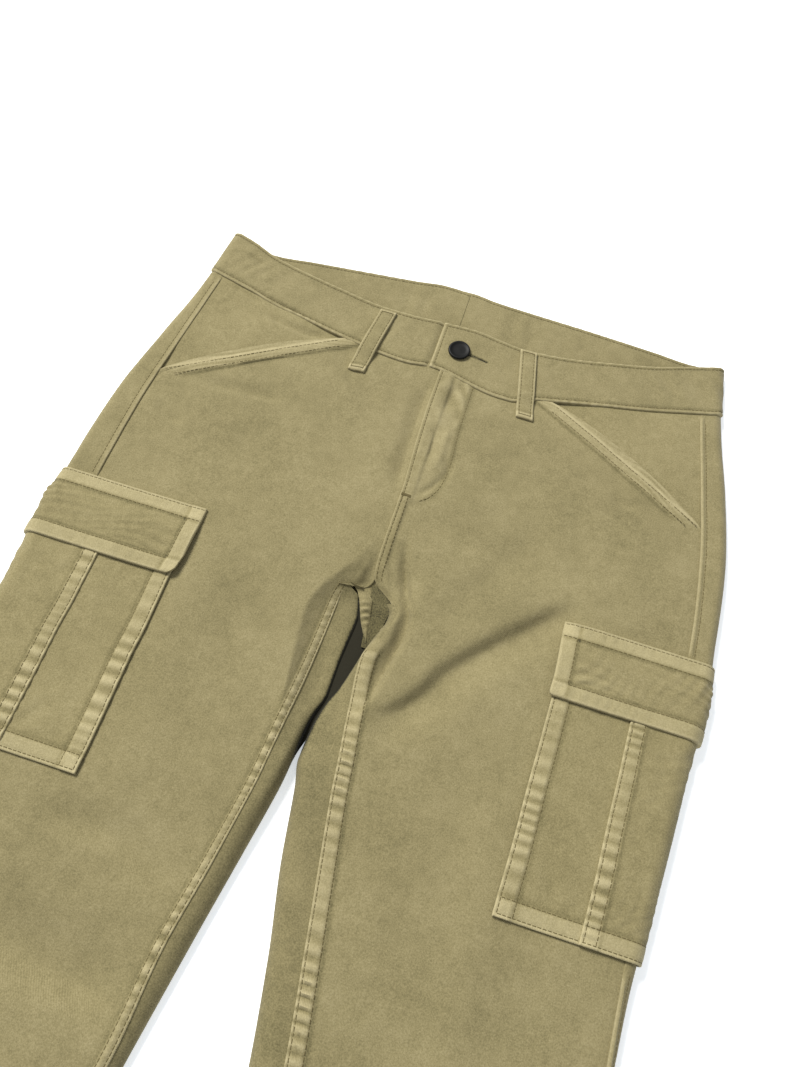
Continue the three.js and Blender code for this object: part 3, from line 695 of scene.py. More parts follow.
def front_lift(side):
    def lift(inset, row):
        out, down, width = front_place(side, inset, row)
        x = side.sign * out
        away = inset * width
        seam_in = seam_starts(side, row)
        wide = INSEAM_BAND[side.sign]
        wave = pucker(row, 7.6, 1.0 + side.sign) * np.clip(away / 2, 0, 1)
        band = 1 - ease(away, wide - 0.8, wide + 1.5)
        ribs = 0.085 * (wide + 1) * wave * hill(away, wide / 2, wide / 2)
        high = seam_in * band * (LAP - 0.2 + ribs)
        groove = -0.35 * (hill(away, INSEAM_STITCH, 0.7) + hill(away, wide, 0.9)) * seam_in
        if side.sign > 0:
            fly = 1 - ease(x, 5.5, 8.5)
            fly = mix(fly, 1 - ease(away, 5.5, 8), ease(down, 196, 206))
            seat = 1 - ease(row, 262, 272)
            bulge = 0.6 * (1 - ease(x - j_line(down), -3, 2.5)) * (down < 205)
            high = high + seat * (LAP * fly + bulge * (1 - fly * 0.4))
            high = high + seat * 0.25 * pucker(down, 9.5, 4) * hill(away, 4, 3)
            inside = (1 - ease(x - j_line(down), -4, 0)) * (1 - ease(down, 188, 203))
            high = high + inside * ease(away, 2, 6) * 0.9 * fly_rumple(x, down)
            groove = groove - seat * 0.3 * hill(away, FLY_STITCH, 0.8)
            line = np.abs(x - j_line(down))
            groove = groove - seat * 0.35 * hill(line, 0, 1.0) * (down < 196)
        else:
            high = high * seam_in
        slant, along = slant_place(side, out, down)
        hip = 1 - ease(row, 150, 158)
        edge = (1 - ease(slant, 8, 9.5)) * hip
        ripple = pucker(along, 6.2, 2.0 - side.sign) * hill(slant, 4.5, 3)
        high = high + edge * (LAP + 0.25 + 0.35 * ripple)
        near, far = SLANT_STITCHES
        groove = groove - hip * 0.35 * (hill(slant, near, 0.7) + hill(slant, far, 0.8))
        high = high + hip * roll(slant)
        side_edge = (1 - inset) * width
        high = high + roll(away, 1.1, 0.6)
        high = high - 0.35 * (1 - hip) * hill(side_edge, 4, 1.6)
        head = ease(row, 97, 102)
        return (high + groove) * mix(0.3, 1, head)
    return lift


def front_wear_and_shade(side):
    def wear(inset, row):
        out, down, width = front_place(side, inset, row)
        x = side.sign * out
        away = inset * width
        seam_in = seam_starts(side, row)
        wide = INSEAM_BAND[side.sign]
        wave = pucker(row, 7.6, 1.0 + side.sign)
        mark = seam_in * (1 - ease(away, wide - 0.5, wide + 1)) * (0.34 + 0.62 * wave)
        mark = mark + 0.35 * hill(away, 0.3, 0.7) * (seam_in if side.sign < 0 else 1)
        # Painted shadow line just outside the raised inseam band.
        mark = mark - 0.04 * wide * hill(away, wide + 1.6, 1.4) * seam_in
        slant, along = slant_place(side, out, down)
        hip = 1 - ease(row, 150, 158)
        mark = mark + hip * 0.6 * hill(slant, 0.3, 1.3)
        ripple = pucker(along, 6.2, 2.0 - side.sign)
        mark = mark + hip * (1 - ease(slant, 7.8, 8.8)) * (0.3 + 0.25 * ripple)
        # Painted shadow line just outside the raised slant band.
        mark = mark - hip * 0.35 * hill(slant, 9.4, 1.2)
        if side.sign > 0:
            # Painted shade along the groove of the fly's curved stitch line.
            line = np.abs(x - j_line(down))
            mark = mark - 0.25 * hill(line, 1.0, 1.4) * (down < 196)
            # Inside the fly the rumples are paler on top and darker between them: painted light and
            # shade.
            inside = (1 - ease(x - j_line(down), -3, 0)) * (1 - ease(down, 190, 205))
            mark = mark + inside * ease(away, 1, 4) * (0.16 + 0.3 * fly_rumple(x, down))
        return mark
    return wear


# Steps in from the front's inner edge and from its side.
FRONT_START = np.concatenate([
    [0, 0.3, 0.7, 1.2, 1.8, 2.4, 3.2, 4, 5, 6, 7, 8, 9, 9.7, 10.4, 11.2, 12],
    np.arange(13, 45, 1.45)])
FRONT_END = np.array([0, 0.4, 0.9, 1.6, 2.5, 3.5, 4.5, 6, 8, 10, 12, 14, 16, 18, 20, 22, 24, 26.5])


def front_columns(width):
    """Shares of a row's width: close together near both edges."""
    width = width[:, None]
    middle = mix(FRONT_START[-1], width - FRONT_END[-1], np.linspace(0, 1, 50)[None, 1:-1])
    parts = [FRONT_START + 0 * width, middle, width - FRONT_END[::-1]]
    return np.concatenate(parts, 1) / width


def leg_rows(start, step=2.0):
    return np.concatenate([
        np.arange(start, 600, step), np.arange(600, 968, 8), np.arange(968, 1000.5, 2)])


def front_face(side):
    def surface(inset, row):
        out, down, _ = front_place(side, inset, row)
        return side.on_top(out, down)

    return skin(surface, -side.sign, front_lift(side), FINE_STEP)


def front_piece(side):
    face = front_face(side)
    rows = leg_rows(94)
    width = front_place(side, np.zeros(len(rows)), rows)[2]
    u = front_columns(width)
    v = np.broadcast_to(rows[:, None], u.shape)
    block = cloth_block(face, u, v, wear=front_wear_and_shade(side))
    return wall(f"cloth_front_{side.name}", [block], TWILL, f"front_{side.name}")


# ---- Backs ----
def back_down_at(side, place, inset, row):
    foot = band_down(side, place, inset, 1.0)
    return row + (foot - 50) * (1 - ease(row, 50, SLANT_FOOT))


def under_length(side, row):
    return side.outer(row) - side.inner_low(row) - 2 * FLOOR_RADIUS + 2 * UNDER_ARC


def back_surface(side):
    """A back runs from the side seam (turn 0) round the outer fold (1), under the leg to the
    seat seam or inner fold (2), and below the crotch on to the inseam (3)."""
    def surface(turn, row):
        place = side.seam_place(row) * (1 - turn)
        down = back_down_at(side, place, side.inset_at(place, row), row)
        strip = side.ring(side.seam_place(down) * (1 - turn), down)
        length = under_length(side, row)
        along = np.clip(turn - 1, 0, 1) * length
        near = along < length / 2
        inset = side.inset_at(np.where(near, -along, along - length), row)
        across = np.where(near, inset, side.outer(row) - side.inner_low(row) - inset)
        down = back_down_at(side, -along, across, row)
        out = np.where(near, side.outer(down) - inset, side.inner_low(down) + inset)
        flat = side.point(out, down, side.under(out, down))
        w = np.clip(turn - 2, 0, 1)
        leg = np.maximum(row, CROTCH + 5 * w)
        q = np.clip((w - 0.25) / 0.75, 0, 1)
        span = side.inseam(leg) + 5 - side.inner(leg)
        out = mix(side.inner_low(leg), side.inner(leg), np.clip(w / 0.25, 0, 1))
        out = out + span * (1 - np.cos(q * np.pi / 2))
        leg_down = leg - side.rise(leg) * q
        inseam_high = side.top(np.maximum(out, side.inner(leg_down)), leg_down)
        high = np.where(w < 0.25, FLOOR_RADIUS, inseam_high)
        wrap = side.point(out, leg_down, high)
        choice = np.where(turn <= 1, 0, np.where((turn <= 2) | (row < CROTCH), 1, 2))[..., None]
        return np.where(choice == 0, strip, np.where(choice == 1, flat, wrap))
    return surface


def seam_ridge(row):
    """How strongly the side seam stands up: flat under the waistband and the pocket."""
    return ease(row, 50, 56) * (1 - ease(row, 246, 254) * (1 - ease(row, 446, 452)))


def back_lift(side):
    def lift(turn, row):
        away = side.seam_place(row) * turn
        wave = 0.2 * pucker(row, 9.0, 3 + side.sign)
        ridge = seam_ridge(row)
        high = 0.2 + (1 - ease(away, 1.8, 3.2)) * 0.75 * ridge
        high = high + (0.2 + wave) * ridge * hill(away, 4, 3)
        high = high + roll(away, 0.7, 0.4) - 0.3 * hill(away, SIDE_STITCH, 0.7) * ridge
        return high * (turn < 1)
    return lift


def back_wear_and_shade(side):
    def wear(turn, row):
        away = side.seam_place(row) * turn
        mark = 0.5 * hill(away, 0.5, 1.1) * (turn < 1) * seam_ridge(row)
        # Painted shade: the underside goes nearly black where it shows in the slit between the legs,
        # and the wrap beyond the inner fold is a little darker.
        slit_painted_shade = ease(turn, 1.96, 2.0) * (1 - ease(turn, 2.3, 2.5)) * (1 - ease(row, 372, 400))
        # A darker line along the seat seam near the crotch.
        seat_seam = 0.3 * hill((2 - turn) * under_length(side, row), 1.5, 1.6) * (row < 262)
        return mark - 1.3 * slit_painted_shade * ease(row, 254, 262) - seat_seam - 0.2 * ease(turn, 2, 2.1)
    return wear


def back_face(side):
    return skin(back_surface(side), -side.sign, back_lift(side), FINE_STEP)


def back_piece(side):
    face = back_face(side)
    rows = leg_rows(46)
    place = side.seam_place(rows)[:, None]
    fine = np.array([0, 0.3, 0.7, 1.2, 2, 3, 3.8, 4.6, 5.6, 7])
    rest = np.linspace(0, 1, 17)[None, 1:]
    strip = np.concatenate([fine + 0 * place, mix(7, place, rest)], 1) / place
    below = 1 + np.array([0.006, 0.012, 0.02, 0.03, 0.05, 0.09, 0.16, 0.25, 0.4, 0.55, 0.7, 0.85,
                          0.95, 0.968, 0.98, 0.987, 0.994, 1])
    wrap = 2 + np.array([0.12, 0.25, 0.3, 0.34, 0.38, 0.43, 0.48, 0.54, 0.6, 0.66, 0.72, 0.78, 0.84,
                         0.88, 0.92, 0.96, 1])
    blocks = []
    for chosen, extra in ((rows <= CROTCH + 1, []), (rows >= CROTCH, wrap)):
        picked = rows[chosen]
        columns = np.concatenate([below, extra])
        columns = np.broadcast_to(columns, (len(picked), len(columns)))
        u = np.concatenate([strip[chosen], columns], 1)
        v = np.broadcast_to(picked[:, None], u.shape)
        blocks.append(cloth_block(face, u, v, wear=back_wear_and_shade(side)))
    return wall(f"cloth_back_{side.name}", blocks, TWILL, f"back_{side.name}")


def seat_seam_pieces():
    """What shows in the slit: the seat seam's end, a tongue of cloth with small ribs that sinks
    from the crotch, and beside it a flat sheet painted dark as the shaded cloth there. across
    runs from -100 to 100, along from 0 at the crotch to 100."""
    middle = table_line([[0, -6.5], [0.16, -6.5], [0.3, -2.6], [0.42, -0.8], [0.75, 4], [1, 8.5]])
    half = table_line([[0, 11], [0.16, 10], [0.3, 5.6], [0.42, 4.4], [0.7, 3.2], [1, 0.5]])

    def tongue(across, along):
        share, a = along / 100, across / 100
        down = mix(259, 306, share)
        x = middle(share) + half(share) * a
        top = RIGHT.top(np.maximum(-x, RIGHT.inner(down) + 0.4), down) - 0.5
        low = mix(8.5, 5.2, ease(share, 0.4, 1)) - 1.6 * a * a
        ribs = 0.75 * hill(share, 0.6, 0.17) * np.sin(share * 62 + 1.2 * a) * (1 - a * a)
        z = mix(top, low + ribs, ease(share, 0.2, 0.42))
        return np.stack(np.broadcast_arrays(x, -down, z), -1)

    def shade(across, along):
        share, a = along / 100, across / 100
        down = mix(266, 309, share)
        x = mix(mix(0, 6, share), mix(19, 13, share), (a + 1) / 2)
        z = 4.4 + 2.4 * (1 - share) + 0 * a
        return np.stack(np.broadcast_arrays(x, -down, z), -1)

    # Painted light on the tongue's ribs, and painted shade between them and where it sinks into the
    # slit.
    def tongue_light_and_shade(across, along):
        ribs = 0.4 * hill(along, 60, 17) * np.sin(along * 0.62 + 0.012 * across)
        return ribs - 0.05 - 0.5 * ease(along, 85, 100)

    # The flat sheet is painted dark all over, as shade.
    def seat_painted_shade(across, along):
        return np.full(across.shape, -0.62)

    v, u = np.meshgrid(np.linspace(0, 100, 90), np.linspace(-100, 100, 20))
    for name, surface, wear in (("tongue", tongue, tongue_light_and_shade), ("shade", shade, seat_painted_shade)):
        block = cloth_block(skin(surface, -1), u, v, ply=0.6, wear=wear)
        wall(f"cloth_seat_{name}", [block], TWILL, None)


# ---- Pocket facings ----
def facing_surface(side):
    """Between the slant, the side seam and the waistband, and on under the front. along runs
    down the slant from 0 to 1, across from the tucked edge (0) over the slant (0.2) to 1."""
    head, slant = slant_edge(side)
    away = np.array([slant[1], -slant[0]]) / np.hypot(*slant)
    corner_x = float(side.seam(54)) + 3
    share = 0.62

    def surface(along, across):
        along, across = along[..., None], across[..., None]
        on_slant = head + slant * mix(-0.02, 1.0, along)
        tucked = on_slant - away * 14 * (1 - 0.5 * along)
        q = np.clip(along / share, 0, 1)
        far_x = mix(head[0], corner_x, q)
        far_y = front_band_foot(side.sign * far_x) - 4
        r = np.clip((along - share) / (1 - share), 0, 1)
        low_y = mix(front_band_foot(side.sign * corner_x) - 4, SLANT_FOOT, r)
        low_x = side.seam(low_y) + 3
        far = np.concatenate([np.where(along < share, far_x, low_x),
                              np.where(along < share, far_y, low_y)], -1)
        near = mix(tucked, on_slant, across / 0.2)
        beyond_slant = mix(on_slant, far, (across - 0.2) / 0.8)
        out, down = np.moveaxis(np.where(across < 0.2, near, beyond_slant), -1, 0)
        beyond = (out - head[0]) * away[0] + (down - head[1]) * away[1]
        z = side.top(out, down) - 1.3 * (1 - ease(beyond, 2, 26))
        return side.point(out, down, z)
    return surface


def facing_piece(side):
    def shaded(along, across):
        return -0.35 * hill(across, 0.2, 0.06)

    face = skin(facing_surface(side), side.sign, None, FINE_STEP)
    along = np.linspace(0, 1, 70)
    across = np.concatenate([np.linspace(0, 0.2, 6), np.linspace(0.2, 1, 46)[1:]])
    v, u = np.meshgrid(across, along)
    block = cloth_block(face, u, v, wear=shaded)
    return wall(f"cloth_facing_{side.name}", [block], POCKET_TWILL,
                f"pocket_facing_{side.name}")


# ---- Waistband ----
BAND_NEAR = 60.0
BAND_PLY = 1.7
OVERLAP_END = -14.0
UNDERLAP_OUT = -22.0


def band_ends(side):
    """Where the band's front end lies, and the places of its front and back ends."""
    end_out = OVERLAP_END if side.sign > 0 else UNDERLAP_OUT
    front = float(side.outer(BAND_NEAR) - end_out - FOLD_ROUND + side.fold_length(BAND_NEAR))
    back = float(side.outer(BAND_NEAR) - side.inner(BAND_NEAR) - FLOOR_RADIUS + UNDER_ARC)
    return end_out, front, back


def band_surface(side):
    """place runs round the outer fold as in Side.ring, share from the upper edge to the foot."""
    end_out = band_ends(side)[0]
    near_outer = float(side.outer(BAND_NEAR))

    def surface(place, share):
        inset = side.inset_at(place, BAND_NEAR)
        down = band_down(side, place, inset, share)
        end = np.where(place > 0, end_out, float(side.inner(BAND_NEAR)))
        out = side.outer(down) - inset * (side.outer(down) - end) / (near_outer - end)
        z = side.top(out, down)
        if side.sign < 0:
            z = z - 2.4 * (1 - ease(out, 13, 19))
        z = np.where(place < 0, side.under(out, down), z)
        return side.point(out, down, z)
    return surface


def buttonhole_place(side, place, from_top):
    """How far below the buttonhole a point of the band lies, and whether it is level with it."""
    out = side.outer(BAND_NEAR) - side.inset_at(place, BAND_NEAR)
    level = (np.abs(out - BUTTONHOLE["x"]) < BUTTONHOLE["half"]) & (place > 0)
    return from_top - (BUTTONHOLE["down"] - front_top(BUTTONHOLE["x"])), level


def band_depth(side, place):
    inset = side.inset_at(place, BAND_NEAR)
    return band_down(side, place, inset, 1.0) - band_down(side, place, inset, 0.0)


def band_lift(side):
    def lift(place, share):
        depth = band_depth(side, place)
        from_top = share * depth
        from_foot = (1 - share) * depth
        above = ease(place, -8, 4)
        end = band_ends(side)[1] - place
        slanted = place + 0.5 * from_top
        wave = 0.45 * pucker(slanted, 17.0, 5 + side.sign) * np.sin(np.pi * share)
        wave = wave * (0.6 + 0.4 * np.sin(place / 37 + side.sign))
        small = 0.26 * pucker(place, 7.5, 8 + side.sign)
        high = 1.6 + wave + small * (hill(from_top, 2, 3) + hill(from_foot, 3, 3))
        high = high + roll(from_top, 1.4, 0.9) + roll(from_foot, 1.4, 0.9)
        high = high - 0.4 * (hill(from_top, BAND_STITCH, 0.8) + hill(from_foot, BAND_STITCH, 0.8))
        if side.sign > 0:
            groove = hill(end, BAND_END_STITCH, 0.8) * (share > 0.06)
            high = high + roll(end, 1.4, 0.9) - 0.35 * groove
            below, level = buttonhole_place(side, place, from_top)
            high = high - 0.9 * hill(below, 0, 0.7) * level
        return mix(0.5, high, above)
    return lift


def band_inner(side):
    """How thick the band is: its inner face has stitch lines of its own at the back."""
    def ply(place, share):
        depth = band_depth(side, place)
        from_top = share * depth
        behind = 1 - ease(place, -8, 4)
        groove = 0.35 * hill(from_top, BAND_STITCH, 0.8) + 0.7 * (1 - quarter(from_top / 1.6))
        groove = groove + 0.3 * hill(depth * (1 - share), BACK_BAND_FOOT_STITCH, 0.9)
        small = 0.2 * pucker(place, 9.0, 11) * hill(from_top, 3, 5)
        middle = 0.4 * pucker(place, 26.0, 12) * np.sin(np.pi * share)
        return BAND_PLY + behind * (0.8 - groove + small + middle)
    return ply


def band_wear_and_shade(side):
    def wear(place, share):
        depth = band_depth(side, place)
        from_top = share * depth
        from_foot = (1 - share) * depth
        small = pucker(place, 7.5, 8 + side.sign)
        mark = (0.45 + 0.35 * small) * (hill(from_top, 0.4, 1.1) + hill(from_foot, 0.4, 1.1))
        # Painted shade in the grooves of the edge stitching.
        mark = mark - 0.2 * (hill(from_top, 3.2, 1.2) + hill(from_foot, 4.0, 1.2))
        if side.sign > 0:
            end = band_ends(side)[1] - place
            mark = mark + 0.55 * hill(end, 0.6, 1.4)
            below, level = buttonhole_place(side, place, from_top)
            # Painted shade in the buttonhole's slit.
            mark = mark - 1.4 * hill(below, 0, 0.9) * level
        return mark
    return wear


def band_face(side):
    return skin(band_surface(side), side.sign, band_lift(side))


def band_piece(side):
    face = band_face(side)
    _, front, back = band_ends(side)
    places = np.concatenate([
        front - np.array([0, 0.4, 0.9, 1.4, 2.0, 2.6, 3.2, 3.8, 4.6]),
        np.arange(front - 6, 16, -1.8), np.linspace(15, 0, 12), np.linspace(0, -UNDER_ARC, 5)[1:],
        -np.linspace(UNDER_ARC, back, 90)[1:],
    ])
    shares = np.array([0, 0.9, 2, 3.2, 4.6, 6, 7.4, 9, 11, 14])
    shares = np.concatenate([shares, np.linspace(17, 83, 24), 100 - shares[::-1]]) / 100
    u, v = np.meshgrid(places, shares)
    block = cloth_block(face, u, v, ply=band_inner(side), wear=band_wear_and_shade(side))
    return wall(f"cloth_waistband_{side.name}", [block], TWILL, f"waistband_{side.name}")


# ---- Cargo pockets ----
def keep_off_table(place, row, high):
    """Under the leg a piece can only use the room that the back leaves above the table."""
    room = pocket_room(row) + loop_room(row) - 0.15
    return np.where(place < 0, mix(np.minimum(high, room), high, ease(place, -4, 0)), high)


def panel_groove(edge, foot, edge_stitches):
    """Stitch lines sink a little, along a panel's front edge and its foot."""
    near, far = edge_stitches
    foot_near, foot_far = FOOT_STITCHES
    groove = hill(edge, near, 0.8) + hill(edge, far, 0.9)
    return -0.35 * (groove + hill(foot, foot_near, 0.8) + hill(foot, foot_far, 0.9))


def panel_place(side, front, place, row):
    """How far in from a panel's front edge a point lies, and how far above its foot."""
    return side.seam_place(row) + POCKET[front] - place, POCKET["foot"] - row


def inner_panel_lift(side):
    def lift(place, row):
        edge, foot = panel_place(side, "front", place, row)
        wave = pucker(row, 9.0, 20 + side.sign)
        crossed = pucker(place + 0.6 * row, 21, 47) * pucker(row - 0.4 * place, 26, 48)
        high = 1.7 + 0.35 * crossed * ease(edge, 12, 18) * ease(foot, 11, 18)
        high = high + (0.65 + 0.4 * wave) * (1 - ease(edge, 9.5, 12.5))
        high = high + 0.5 * (1 - ease(foot, 10.5, 13))
        high = high + 0.2 * pucker(place, 9.0, 23) * hill(foot, 6, 4)
        return high + panel_groove(edge, foot, INNER_STITCHES) + roll(edge) + roll(foot)
    return lift


def inner_panel_wear_and_shade(side):
    def wear(place, row):
        edge, foot = panel_place(side, "front", place, row)
        wave = pucker(row, 9.0, 20 + side.sign)
        mark = (0.36 + 0.55 * wave) * (1 - ease(edge, 10, 12)) * (foot > 9)
        mark = mark + 0.4 * hill(edge, 0.3, 1.2) + 0.3 * hill(foot, 0.3, 1.3)
        # Paler foot band with wear, and a painted shadow line just above it.
        mark = mark + 0.5 * (1 - ease(foot, 9.5, 11)) * (edge > 9) - 0.25 * hill(foot, 12.5, 1.5)
        mark = mark + 0.75 * (foot <= 9) * (edge <= 9)
        # Painted shadow line just inside the raised front band.
        return mark - 0.3 * hill(edge, 12.8, 1.4)
    return wear


def centre_panel_lift(side):
    def lift(place, row):
        edge, foot = panel_place(side, "middle", place, row)
        wave = pucker(row, 7.8, 30 + side.sign)
        crossed = pucker(place - 0.8 * row, 15, 57) * pucker(row + 0.3 * place, 17, 58)
        high = 2.6 + 0.6 * crossed * ease(edge, 11, 16) * ease(foot, 11, 18)
        high = high + (0.55 + 0.45 * wave) * (1 - ease(edge, 9.5, 12))
        high = high + 0.3 * (1 - ease(foot, 10.5, 13))
        high = high + panel_groove(edge, foot, CENTRE_STITCHES) + roll(edge) + roll(foot)
        return keep_off_table(place, row, high)
    return lift


def centre_panel_wear_and_shade(side):
    def wear(place, row):
        edge, foot = panel_place(side, "middle", place, row)
        wave = pucker(row, 7.8, 30 + side.sign)
        mark = (0.32 + 0.62 * wave) * (1 - ease(edge, 9, 11)) * (foot > 10)
        mark = mark + 0.4 * hill(edge, 0.3, 1.2) + 0.3 * hill(foot, 0.3, 1.3)
        # Paler foot band with wear, and a painted shadow line just above it.
        mark = mark + 0.45 * (1 - ease(foot, 9.5, 11)) - 0.25 * hill(foot, 12.5, 1.5)
        mark = mark + 0.3 * (foot <= 10) * (edge <= 10)
        # Painted shadow line just inside the raised front band.
        return mark - 0.3 * hill(edge, 11.2, 1.3)
    return wear


def outer_panel_lift(place, row):
    return keep_off_table(place, row, np.full(place.shape, 1.7))


def pocket_piece(side, name, lift, wear, columns):
    face = skin(side.ring, side.sign, lift)
    foot = POCKET["foot"]
    rows = np.concatenate([
        np.arange(POCKET["top"], foot - 14, 1.6), np.arange(foot - 14, foot - 2, 1.0),
        foot - np.array([2, 1.4, 0.9, 0.4, 0])])
    u = np.stack([columns(row) for row in rows])
    v = np.broadcast_to(rows[:, None], u.shape)
    block = cloth_block(face, u, v, wear=wear)
    wall(f"cloth_{name}_{side.name}", [block], POCKET_TWILL, f"{name}_{side.name}")


def pocket_pieces(side):
    edge_steps = np.array([0, 0.3, 0.7, 1.2, 1.8, 2.5, 3.4, 4.5, 5.7, 7, 8.2, 9.2, 10, 11, 12, 13.2])
    behind_fold = [-1.2, -2.5, -3.8, -UNDER_ARC, -6.5, -8]

    def inner(row):
        front = side.seam_place(row) + POCKET["front"]
        last = side.seam_place(row) + 16
        return np.concatenate([front - edge_steps, np.linspace(front - 15, last, 24)])

    def centre(row):
        front = side.seam_place(row) + POCKET["middle"]
        fold = side.fold_length(row)
        return np.concatenate([front - edge_steps, np.linspace(front - 15, fold, 14),
                               np.linspace(fold, 0, 12)[1:], behind_fold])

    def outer(row):
        return np.linspace(-8.3, POCKET["rear"], 12)

    pocket_piece(side, "cargo_inner", inner_panel_lift(side), inner_panel_wear_and_shade(side), inner)
    pocket_piece(side, "cargo_centre", centre_panel_lift(side), centre_panel_wear_and_shade(side), centre)
    pocket_piece(side, "cargo_outer", outer_panel_lift, None, outer)


# ---- Flaps ----
FLAP_PLY = 1.6
CORNER_CUT = {1: 3.0, -1: 7.0}


def flap_place(side, place, row):
    """How far a point of a flap lies from its front edge, its foot and its head."""
    edge = side.seam_place(row) + FLAP["front"] - place
    return edge, FLAP["foot"] - row, row - FLAP["top"]


def flap_lift(side):
    def lift(place, row):
        edge, foot, head = flap_place(side, place, row)
        high = 1.7 + 2.7 * ease(row, FLAP["top"] + 2, 278)
        high = high + 0.45 * (1 - ease(head, 9.5, 12)) + 0.45 * (1 - ease(edge, 9.5, 11.5))
        high = high + 0.45 * (1 - ease(foot, 9.5, 11.5))
        ripple = pucker(place, 8.5, 40 + side.sign)
        high = high + 0.28 * ripple * (hill(head, 5, 4) + hill(foot, 5, 4))
        high = high + 0.3 * pucker(row, 8.5, 43) * hill(edge, 5, 4)
        inside = ease(edge, 10, 16) * ease(head, 10, 15) * ease(foot, 10, 15)
        crossed = pucker(place + 0.8 * row, 16, 45) * pucker(row - 0.35 * place, 13, 46)
        high = high + 0.95 * inside * crossed
        near, far = FLAP_HEAD_STITCHES
        groove = hill(head, near, 0.7) + hill(head, far, 0.9) + hill(edge, FLAP_STITCH, 0.9)
        groove = groove + hill(foot, FLAP_STITCH, 0.9)
        high = high - 0.4 * groove + roll(edge, 1.3, 0.8) + roll(foot, 1.3, 0.8)
        high = high + roll(head, 0.9, 0.5)
        return keep_off_table(place, row, high)
    return lift


def flap_wear_and_shade(side):
    def wear(place, row):
        edge, foot, head = flap_place(side, place, row)
        mark = 0.5 * (1 - ease(head, 9, 11)) + 0.42 * (1 - ease(edge, 9, 10.5))
        mark = mark + 0.42 * (1 - ease(foot, 9, 10.5))
        mark = mark + 0.45 * (hill(edge, 0.3, 1.3) + hill(foot, 0.3, 1.3) + hill(head, 0.3, 1.2))
        # Painted shadow lines just inside the raised bands along the head, front edge and foot.
        mark = mark - 0.4 * (hill(head, 11.6, 1.3) + hill(edge, 11.0, 1.3) + hill(foot, 11.0, 1.3))
        return np.minimum(mark, 0.8)
    return wear


def flap_piece(side):
    """The flap turns with the side fold. Below the last 20 mm of its depth its rows close up
    towards the foot, so that its lower corner is a quarter circle."""
    face = skin(side.ring, side.sign, flap_lift(side))
    top, foot = FLAP["top"], FLAP["foot"]
    rows = np.concatenate([
        top + np.array([0, 0.4, 0.9, 1.5, 2.2]), np.arange(top + 3.2, foot - 3, 1.1),
        foot - np.array([2.6, 2, 1.4, 0.9, 0.4, 0])])
    steps = np.array([0, 0.4, 0.9, 1.4, 2.2, 3.2, 4.4, 5.6, 6.8, 8, 9, 9.8, 10.6, 11.4, 12.4])
    behind_fold = [-1.2, -2.5, -3.8, -UNDER_ARC, -6.5, -8, -14, -22, -30, -38, -48, FLAP["rear"]]

    def columns(row):
        front = side.seam_place(row) + FLAP["front"]
        fold = side.fold_length(row)
        return np.concatenate([front - steps, np.linspace(front - 13.6, fold, 44),
                               np.linspace(fold, 0, 14)[1:], behind_fold])

    u = np.stack([columns(row) for row in rows])
    v = np.broadcast_to(rows[:, None], u.shape).copy()
    cut = CORNER_CUT[side.sign]
    turned = np.clip(1 - flap_place(side, u, v)[0] / cut, 0, 1)
    low = foot - (cut - cut * np.sqrt(1 - turned ** 2))
    closing = 20
    start = foot - closing
    v = np.where(v > start, start + (v - start) * (low - start) / closing, v)
    block = cloth_block(face, u, v, ply=FLAP_PLY, wear=flap_wear_and_shade(side))
    wall(f"cloth_flap_{side.name}", [block], POCKET_TWILL,
                f"cargo_flap_{side.name}")


# ---- Belt loops ----
LOOP_HALF = 6.5
LOOP_HEAD = 47.0
LOOP_FOOT = 108.0
LOOP_LENGTH = LOOP_FOOT - LOOP_HEAD
BACK_LOOP_OUT = 140.0
LOOP_PLY = 1.6


def loop_surfaces():
    """Each loop's name, its surface (across, share of the way down), the outward sign, and
    whether it is a front one."""
    found = []
    for side, head, foot in ((LEFT, 55, 66), (RIGHT, 58, 65)):
        def front(across, share, side=side, head=head, foot=foot):
            out = mix(head, foot, share) + across
            return side.on_top(out, mix(LOOP_HEAD, LOOP_FOOT, share))

        def back(across, share, side=side):
            out = BACK_LOOP_OUT + across
            down = mix(back_top(side.sign * BACK_LOOP_OUT) + 4, 60.0, share)
            return side.point(out, down, side.under(out, down))

        found.append((f"belt_loop_front_{side.name}", front, -side.sign, True))
        found.append((f"belt_loop_side_{side.name}", back, side.sign, False))

    def centre(across, share):
        down = mix(back_top(CENTRE) - 1.8, 58.0, share)
        z = LEFT.under(40.0 + 0 * down, down)
        return LEFT.point(CENTRE + across, down, z)

    found.append(("belt_loop_centre_back", centre, 1, False))
    return found


def back_loop_lift(across, share):
    return 2.1 + 0.1 * np.sin(np.pi * share)


def loop_lift(front):
    def lift(across, share):
        edge = LOOP_HALF - np.abs(across)
        over_band = 1 - ease(mix(LOOP_HEAD, LOOP_FOOT, share), 86, 98)
        bow = 0.9 * np.sin(np.pi * np.clip(share * 1.15, 0, 1))
        high = 1.9 + 1.7 * over_band + bow * over_band
        high = high + roll(edge, 1.2, 0.8) - 0.3 * hill(edge, 2.1, 0.8)
        head, foot = share * LOOP_LENGTH, (1 - share) * LOOP_LENGTH
        high = high + 0.5 * (1 - ease(head, 3.5, 5)) + 0.6 * (1 - ease(foot, 4.2, 5.6))
        high = high + roll(head, 1.2, 0.7) + roll(foot, 1.2, 0.7)
        return high + 0.12 * pucker(head, 7.0, 3)
    return lift if front else back_loop_lift


